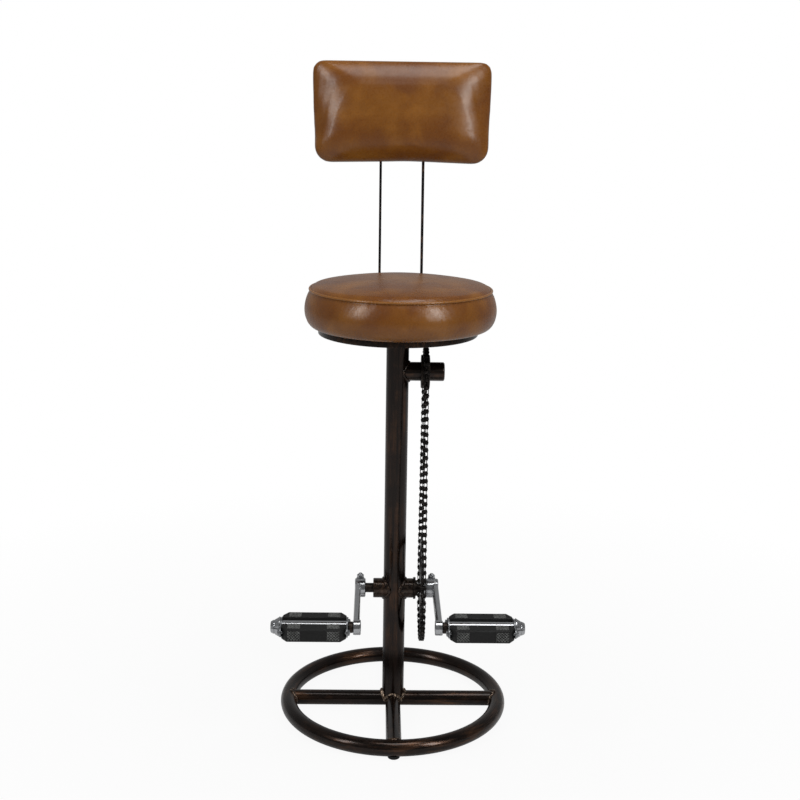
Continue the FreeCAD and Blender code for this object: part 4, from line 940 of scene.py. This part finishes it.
radius = np.hypot(*across.T)
rise = places[:, 2] - seat_base - SEAM_RISE
below = np.exp(-((radius - SEAM_RADIUS) ** 2 + (rise + 2) ** 2) / 3.5 ** 2)
inside = np.exp(-((radius - SEAM_RADIUS + 4) ** 2 + (rise - 2) ** 2) / 3.5 ** 2)
places[:, :2] -= SEAM_DEPTH * below[:, None] * across / np.maximum(radius, 1)[:, None]
places[:, 2] -= SEAM_DEPTH * inside
cushion.data.vertices.foreach_set("co", (places / 1000).ravel())
soft_finish(cushion)

around = np.linspace(0, 2 * np.pi, 240, endpoint=False)[:, None]
v = np.linspace(0, 2 * np.pi, 12, endpoint=False)[None]
piping_reach = SEAM_RADIUS + 0.3 + PIPING_RADIUS * np.cos(v)
piping_grid = np.stack([
    seat_middle + piping_reach * np.cos(around),
    piping_reach * np.sin(around),
    seat_base + SEAM_RISE + 0.5 + PIPING_RADIUS * np.sin(v) + 0 * around,
], -1)
piece("seat_piping", [shell(piping_grid, along=True)], leather, rub=0.6)


# Uprights: two flat bars set on edge, bent to an L under the seat and leaning back; their
# dark lacquer is rubbed and rusty in places.

rusty, tree, coords = blank("rubbed_flat_bar")
stain = noise(tree, coords, 22, 7.0, 0.7)
rust = ramp(tree, stain, 0.52, 0.64, 0.0, 0.85)
tone = blend(tree, rust, "#1d1a1b", "#5b4434")
rough = ramp(tree, rust, 0.0, 1.0, 0.34, 0.62)
finished(tree, {
    "Base Color": tone, "Metallic": 0.7, "Roughness": rough,
})

dress(rusty, "left_upright", "right_upright")


# Backrest: the same leather over foam on a plywood board, drawn tight round the edges, and
# the steel plate behind it that is welded to the uprights.

BACK_LEAN = 4.5
BACK_WIDE = 303.0
BACK_TALL = 168.0
BACK_DEPTH = 45.0
BACK_WALL = 15.0
BACK_BOW = 6.0
BACK_CORNERS = (19.0, 27.0)
back_low, back_high = extent("back_plate")
back_middle = (back_low + back_high) / 2 + [0, 0, -0.5]


def leaning(points):
    """Turns points drawn upright about the plate's middle back by the backrest's lean."""
    c, s = math.cos(math.radians(BACK_LEAN)), math.sin(math.radians(BACK_LEAN))
    return points @ np.array([[1, 0, 0], [0, c, -s], [0, s, c]]) + back_middle


def rounded_outline(wide, tall, top_corner, low_corner, steps=10):
    """Corners of a rectangle replaced by quarter circles, counted from the top right."""
    quarter = np.linspace(0, np.pi / 2, steps)
    rows = []
    for turn, x, z in ((0, 1, 1), (1, -1, 1), (2, -1, -1), (3, 1, -1)):
        corner = top_corner if z > 0 else low_corner
        a = quarter + turn * np.pi / 2
        rows.append(np.stack([
            x * (wide / 2 - corner) + corner * np.cos(a), z * (tall / 2 - corner) + corner * np.sin(a),
        ], -1))
    return np.concatenate(rows)


BACK_SIDE = ((1.5, 7.0), (4.0, 2.6), (8.0, 0.7), (12.0, 0.0), (BACK_WALL, 0.3))
outline = rounded_outline(BACK_WIDE, BACK_TALL, *BACK_CORNERS)
ahead = np.roll(outline, -1, 0) - np.roll(outline, 1, 0)
ahead /= np.linalg.norm(ahead, axis=1, keepdims=True)
outward = np.stack([ahead[:, 1], -ahead[:, 0]], -1)
outline[:, 1] -= (outline[:, 1] < 0) * BACK_BOW * (1 - (outline[:, 0] / BACK_WIDE * 2) ** 2)
outline[:, 0] *= 1 - 0.018 * (0.5 - outline[:, 1] / BACK_TALL)
back_rows = [
    np.column_stack([outline - inset * outward, np.full(len(outline), depth)]) for depth, inset in BACK_SIDE
]
for share in 1 - np.linspace(0, 1, 24) ** 2:
    sides = np.sqrt(np.maximum(0, 1 - np.abs(2 * outline[:, 0] * share / BACK_WIDE) ** 4.2))
    ends = np.sqrt(np.maximum(0, 1 - np.abs(2 * outline[:, 1] * share / (BACK_TALL + 2 * BACK_BOW)) ** 2.8))
    back_rows.append(np.column_stack([outline * share, BACK_WALL + (BACK_DEPTH - BACK_WALL) * sides * ends]))
back_rows = [np.column_stack([row[:, 0], -row[:, 2], row[:, 1]]) for row in back_rows]
back_points, back_faces = shell(np.stack(back_rows))
backrest = piece(
    "backrest_leather", [(leaning(back_points), back_faces)], leather, ["back_pad"],
)


def back_held(points):
    """The rear face of the backrest lies flat on its board."""
    c, s = math.cos(math.radians(BACK_LEAN)), math.sin(math.radians(BACK_LEAN))
    depth = (points - back_middle) @ np.array([0, c, s])
    return depth > -11


stuffed(backrest, back_held, 6.0)
soft_finish(backrest, 1)
dress(bronze, "back_plate")


# Pedals: a steel tube on bushes round the spindle, pressed end plates, two moulded rubber
# blocks on rods with nuts, and a bright dust cap over the spindle's nut.

BLOCK_LENGTH = 101.5
BLOCK_START = 13.0
BLOCK_END = 35.5
BLOCK_THICK = 21.6
BLOCK_EDGE = 2.0
CUT_ALONG = 9.0
CUT_ACROSS = 14.0
COLLAR = 8.0
PLATE = 2.5
KNURL_PITCH = 4.6
KNURL_HEIGHT = 0.8
KNURL_START = 10.0
KNURL_LENGTH = 20.0
ROD_SPACING = 22.0
BARREL_RADIUS = 10.0
BARREL_BORE = 8.0
SPINDLE_RADIUS = 6.0
HUB_RADIUS = 14.5
TIP_RADIUS = 7.5
BLOCK_STEP = 0.5


def tread(sign):
    """A rubber block: a chamfered section carried along x, slanted at both ends.

    At each x the section's far side lies at y_end(x); a net of raised diamonds, where a
    diagonal wave is near its crest, stands out on the three outer faces near the ends.
    The second value marks those diamonds for their painted highlight.
    """
    net_rows = np.arange(CUT_ALONG, KNURL_START + KNURL_LENGTH + 0.6, BLOCK_STEP)
    near_end = np.concatenate([[0.0, 1.0, 5.0], net_rows])
    middle = np.linspace(near_end[-1], BLOCK_LENGTH - near_end[-1], 12)[1:-1]
    x = np.concatenate([near_end, middle, BLOCK_LENGTH - near_end[::-1]])
    high, deep, edge = BLOCK_THICK / 2, BLOCK_END - BLOCK_START, BLOCK_EDGE
    corners = np.array([
        (0.4, -high), (deep - edge, -high), (deep, edge - high), (deep, high - edge), (deep - edge, high),
        (0.4, high), (0, high - 0.4), (0, 0.4 - high), (0.4, -high),
    ])
    lengths = np.linalg.norm(np.diff(corners, axis=0), axis=1)
    parts, normals, inside = [], [], []
    for start, end, length in zip(corners[:-1], corners[1:], lengths):
        count = max(1, round(length / BLOCK_STEP))
        share = (np.arange(count) / count)[:, None]
        parts.append(start + (end - start) * share)
        out = np.array([end[1] - start[1], start[0] - end[0]]) / length
        normals.append(np.repeat(out[None], count, 0))
        near = np.minimum(share[:, 0], 1 - share[:, 0]) * length
        inside.append((near > 1.2) * (length > 10) * (out[0] > -0.5))
    section, normal, inside = np.concatenate(parts), np.concatenate(normals), np.concatenate(inside)
    walk = np.concatenate([[0], np.cumsum(np.linalg.norm(np.diff(section, axis=0), axis=1))])
    from_end = np.minimum(x, BLOCK_LENGTH - x)
    slant = np.minimum(1.0, from_end / CUT_ALONG)
    reach = (deep - CUT_ACROSS * (1 - slant)) / deep
    a = (x[:, None] + walk[None]) / KNURL_PITCH
    b = (x[:, None] - walk[None]) / KNURL_PITCH
    crest = np.maximum(np.cos(2 * np.pi * a), np.cos(2 * np.pi * b))
    net = np.clip((crest - 0.74) / 0.18, 0, 1)
    patch = ((from_end > KNURL_START) & (from_end < KNURL_START + KNURL_LENGTH))[:, None] * inside[None]
    lift = KNURL_HEIGHT * net * patch
    shrink = np.where(from_end < 0.5, 0.8, 0.0)[:, None]
    y = BLOCK_START + section[None, :, 0] * reach[:, None] + normal[None, :, 0] * (lift - shrink)
    z = section[None, :, 1] + normal[None, :, 1] * (lift - shrink)
    grid = np.stack([COLLAR + PLATE + x[:, None] + 0 * y, sign * y, z], -1)
    return shell(grid), (net * patch).ravel()


def plate_outline(hub, spacing, tip, steps=9):
    """Round middle of radius hub with two arms to tips of radius tip at +-spacing."""
    a = math.asin(tip / hub)
    top = np.linspace(a, np.pi - a, 2 * steps)
    arc_top = np.stack([hub * np.cos(top), hub * np.sin(top)], -1)
    left_tip = np.linspace(np.pi / 2, 3 * np.pi / 2, steps)
    arc_left = np.stack([-spacing + tip * np.cos(left_tip), tip * np.sin(left_tip)], -1)
    return np.concatenate([arc_top, arc_left, -arc_top, -arc_left])


def drawn_in(outline, amount):
    """Each point of a closed outline moved inward along the mean of its edges' normals."""
    ahead = np.roll(outline, -1, 0) - outline
    ahead /= np.linalg.norm(ahead, axis=1, keepdims=True)
    normal = np.stack([-ahead[:, 1], ahead[:, 0]], -1)
    mean = normal + np.roll(normal, 1, 0)
    return outline + amount * mean / np.maximum(0.3, (mean * mean).sum(1, keepdims=True) / 2)


def pressed(outline, x, thick, soft=0.4):
    """A plate across X: its outline, drawn in by soft at both faces."""
    rows = [(x, soft), (x + soft, 0), (x + thick - soft, 0), (x + thick, soft)]
    grid = np.stack([
        np.column_stack([np.full(len(outline), s), drawn_in(outline, inset)]) for s, inset in rows
    ])
    return shell(grid)


plate_shape = plate_outline(HUB_RADIUS, ROD_SPACING, TIP_RADIUS)
far = COLLAR + PLATE + BLOCK_LENGTH + PLATE
cap_profile = [
    (0, 15.6), (0.5, 16.0), (1.8, 16.0), (2.2, 15.2), (8.6, 11.6), (9.0, 10.6), (9.8, 10.4), (10.2, 11.0),
    (14.4, 9.0), (15.2, 8.2), (15.5, 7.0), (15.5, 0.0),
]
for side, sign, block_ahead, block_behind in (("left", -1, "rear", "front"), ("right", 1, "front", "rear")):
    body = side + "_pedal"
    crank_low, crank_high = extent(side + "_crank")
    face = crank_low[0] if sign < 0 else crank_high[0]

    def placed(shells):
        """Half a turn about the vertical for the left side, then onto the crank's face."""
        spin = np.array([sign, sign, 1.0])
        return [(points * spin + [face, -CRANK_LENGTH, axle_height], faces) for points, faces in shells]

    origin = (0, 0, 0)
    piece(
        body + "_spindle_bar",
        placed([
            rod(EYE_WIDTH + 0.6, 7.1, "-X", (0.3, 0, 0), edge=0.6),
            turned([(0, 7.5), (0.6, 9.0), (COLLAR - 1.2, 9.0), (COLLAR - 0.4, 7.8)], "X", origin, 32),
            rod(far + 6, SPINDLE_RADIUS, "X", origin, edge=0.8),
        ]),
        oiled, [body + "_spindle"],
    )
    piece(
        body + "_far_nut",
        placed([turned([(0, 9.4), (0.5, 9.8), (4.4, 9.8), (5, 9.0)], "X", (far + 0.3, 0, 0), 6)]),
        zinc, [body + "_spindle_nut"], sharp=25,
    )
    piece(
        body + "_tube",
        placed([turned(
            [(0, BARREL_RADIUS), (far - COLLAR, BARREL_RADIUS), (far - COLLAR, BARREL_BORE),
             (0, BARREL_BORE)],
            "X", (COLLAR, 0, 0), hollow=True,
        )]),
        chrome, [body + "_barrel"], body,
    )
    for node, shape_sign in ((block_ahead, -1), (block_behind, 1)):
        block, crest_highlight = tread(shape_sign)
        # The knurl crests get their painted highlight through rub.
        piece(
            "%s_%s_tread" % (body, node), placed([block]),
            rubber, ["%s_%s_block" % (body, node)], body, sharp=50, rub=crest_highlight,
        )
    piece(
        body + "_inner_cage", placed([pressed(plate_shape, COLLAR, PLATE)]),
        zinc, [body + "_inner_plate"], body,
    )
    piece(
        body + "_outer_cage", placed([pressed(plate_shape, far - PLATE, PLATE)]),
        zinc, [body + "_outer_plate"], body,
    )
    nut_profile = [(0, 4.3), (0.3, 4.6), (2.6, 4.6), (3.0, 4.1)]
    rods = []
    for y in (-ROD_SPACING, ROD_SPACING):
        rods.append(rod(far - COLLAR + 7.2, 2.5, "X", (COLLAR - 3.6, y, 0), edge=0.5, sides=20))
        rods.append(turned(nut_profile, "X", (COLLAR - 3.0, y, 0), 6))
        rods.append(turned(nut_profile, "X", (far, y, 0), 6))
    piece(body + "_rods", placed(rods), zinc, [body + "_tie_rods"], body, sharp=25)
    piece(
        body + "_cap", placed([
            turned(cap_profile[:4], "X", (far, 0, 0), 48),
            turned(cap_profile[3:], "X", (far, 0, 0), 72, flutes=12, depth=0.02),
        ]),
        chrome, [body + "_dust_cap"], body, sharp=25,
    )
    dress(zinc, body + "_bushes")


# Studio: a pale floor that fades to the white surround, and two tall soft lamps in front.
# The studio before the object is dim, so gloss shows the lamps on a darker ground.

FLOOR_FADE = (0.35, 1.3)
FLOOR_SHARE = 0.93
MIRRORED = 0.16
WORLD_FILL = 0.6

floor_mesh = bpy.data.meshes.new("floor")
floor_mesh.from_pydata([(-4, -4, 0), (4, -4, 0), (4, 6, 0), (-4, 6, 0)], [], [(0, 1, 2, 3)])
floor = bpy.data.objects.new("floor", floor_mesh)
bpy.context.scene.collection.objects.link(floor)
floor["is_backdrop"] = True
pale_floor, tree, coords = blank("pale_floor")
path = add(tree, "ShaderNodeLightPath")
lit = add(tree, "ShaderNodeBsdfDiffuse", {"Color": linear("#c4c4c4")})
white = add(tree, "ShaderNodeEmission", {"Color": (1, 1, 1, 1), "Strength": 1.0})
away = add(tree, "ShaderNodeVectorMath", {0: coords}, operation="LENGTH")
fade = ramp(tree, away.outputs["Value"], *FLOOR_FADE, FLOOR_SHARE, 1.0)
direct = product(tree, path.outputs["Is Camera Ray"], fade)
seen = add(
    tree, "ShaderNodeMath", {0: path.outputs["Is Glossy Ray"], 1: MIRRORED, 2: direct},
    operation="MULTIPLY_ADD",
)
seen = add(
    tree, "ShaderNodeMath", {0: path.outputs["Is Transmission Ray"], 1: seen.outputs[0]},
    operation="ADD", use_clamp=True,
)
mixed = add(tree, "ShaderNodeMixShader", {0: seen.outputs[0], 1: lit.outputs[0], 2: white.outputs[0]})
add(tree, "ShaderNodeOutputMaterial", {"Surface": mixed.outputs[0]})
floor_mesh.materials.append(pale_floor)

world = bpy.data.worlds.new("studio")
bpy.context.scene.world = world
world.use_nodes = True
tree = world.node_tree
tree.nodes.clear()
path = add(tree, "ShaderNodeLightPath")
direct = add(
    tree, "ShaderNodeMath", {0: path.outputs["Is Camera Ray"], 1: path.outputs["Is Transmission Ray"]},
    operation="ADD", use_clamp=True,
)
aim = add(tree, "ShaderNodeSeparateXYZ", {0: add(tree, "ShaderNodeTexCoord").outputs["Generated"]})
behind = ramp(tree, aim.outputs["Y"], -0.3, 0.9, MIRRORED, 2 * MIRRORED)
above = ramp(tree, aim.outputs["Z"], -0.5, 1.0, 0.2 * WORLD_FILL, WORLD_FILL)
fill = add(tree, "ShaderNodeMix", {0: path.outputs["Is Glossy Ray"], 2: above, 3: behind})
fill = add(tree, "ShaderNodeBackground", {"Color": (1, 1, 1, 1), "Strength": fill.outputs[0]})
white = add(tree, "ShaderNodeBackground", {"Color": (1, 1, 1, 1), "Strength": 1.0})
mixed = add(tree, "ShaderNodeMixShader", {0: direct.outputs[0], 1: fill.outputs[0], 2: white.outputs[0]})
add(tree, "ShaderNodeOutputWorld", {"Surface": mixed.outputs[0]})

for name, place, aim, wide, tall, power in (
    ("left_lamp", (-1.7, -1.35, 1.75), (0, 0, 0.85), 0.42, 1.4, 17.0),
    ("right_lamp", (1.45, -1.6, 1.75), (0, 0, 0.85), 0.42, 1.4, 24.0),
    ("top_lamp", (0.3, -0.5, 2.7), (0, 0, 0.7), 1.2, 1.0, 16.0),
):
    lamp = bpy.data.lights.new(name, "AREA")
    lamp.shape = "RECTANGLE"
    lamp.size = wide
    lamp.size_y = tall
    lamp.energy = power
    holder = bpy.data.objects.new(name, lamp)
    bpy.context.scene.collection.objects.link(holder)
    away = np.array(place, float) - np.array(aim, float)
    away /= np.linalg.norm(away)
    across = np.cross([0, 1e-3, 1.0], away)
    across /= np.linalg.norm(across)
    turn_matrix = np.eye(4)
    turn_matrix[:3, 0] = across
    turn_matrix[:3, 1] = np.cross(away, across)
    turn_matrix[:3, 2] = away
    turn_matrix[:3, 3] = place
    holder.matrix_world = Matrix(turn_matrix.tolist())


# Both boxes are set side by side, so the dressed model can be held to the solids' size.

sides = {
    "cad": [list(map(float, corner)) for corner in cad_box],
    "scene": [list(map(float, corner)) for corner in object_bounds()],
}
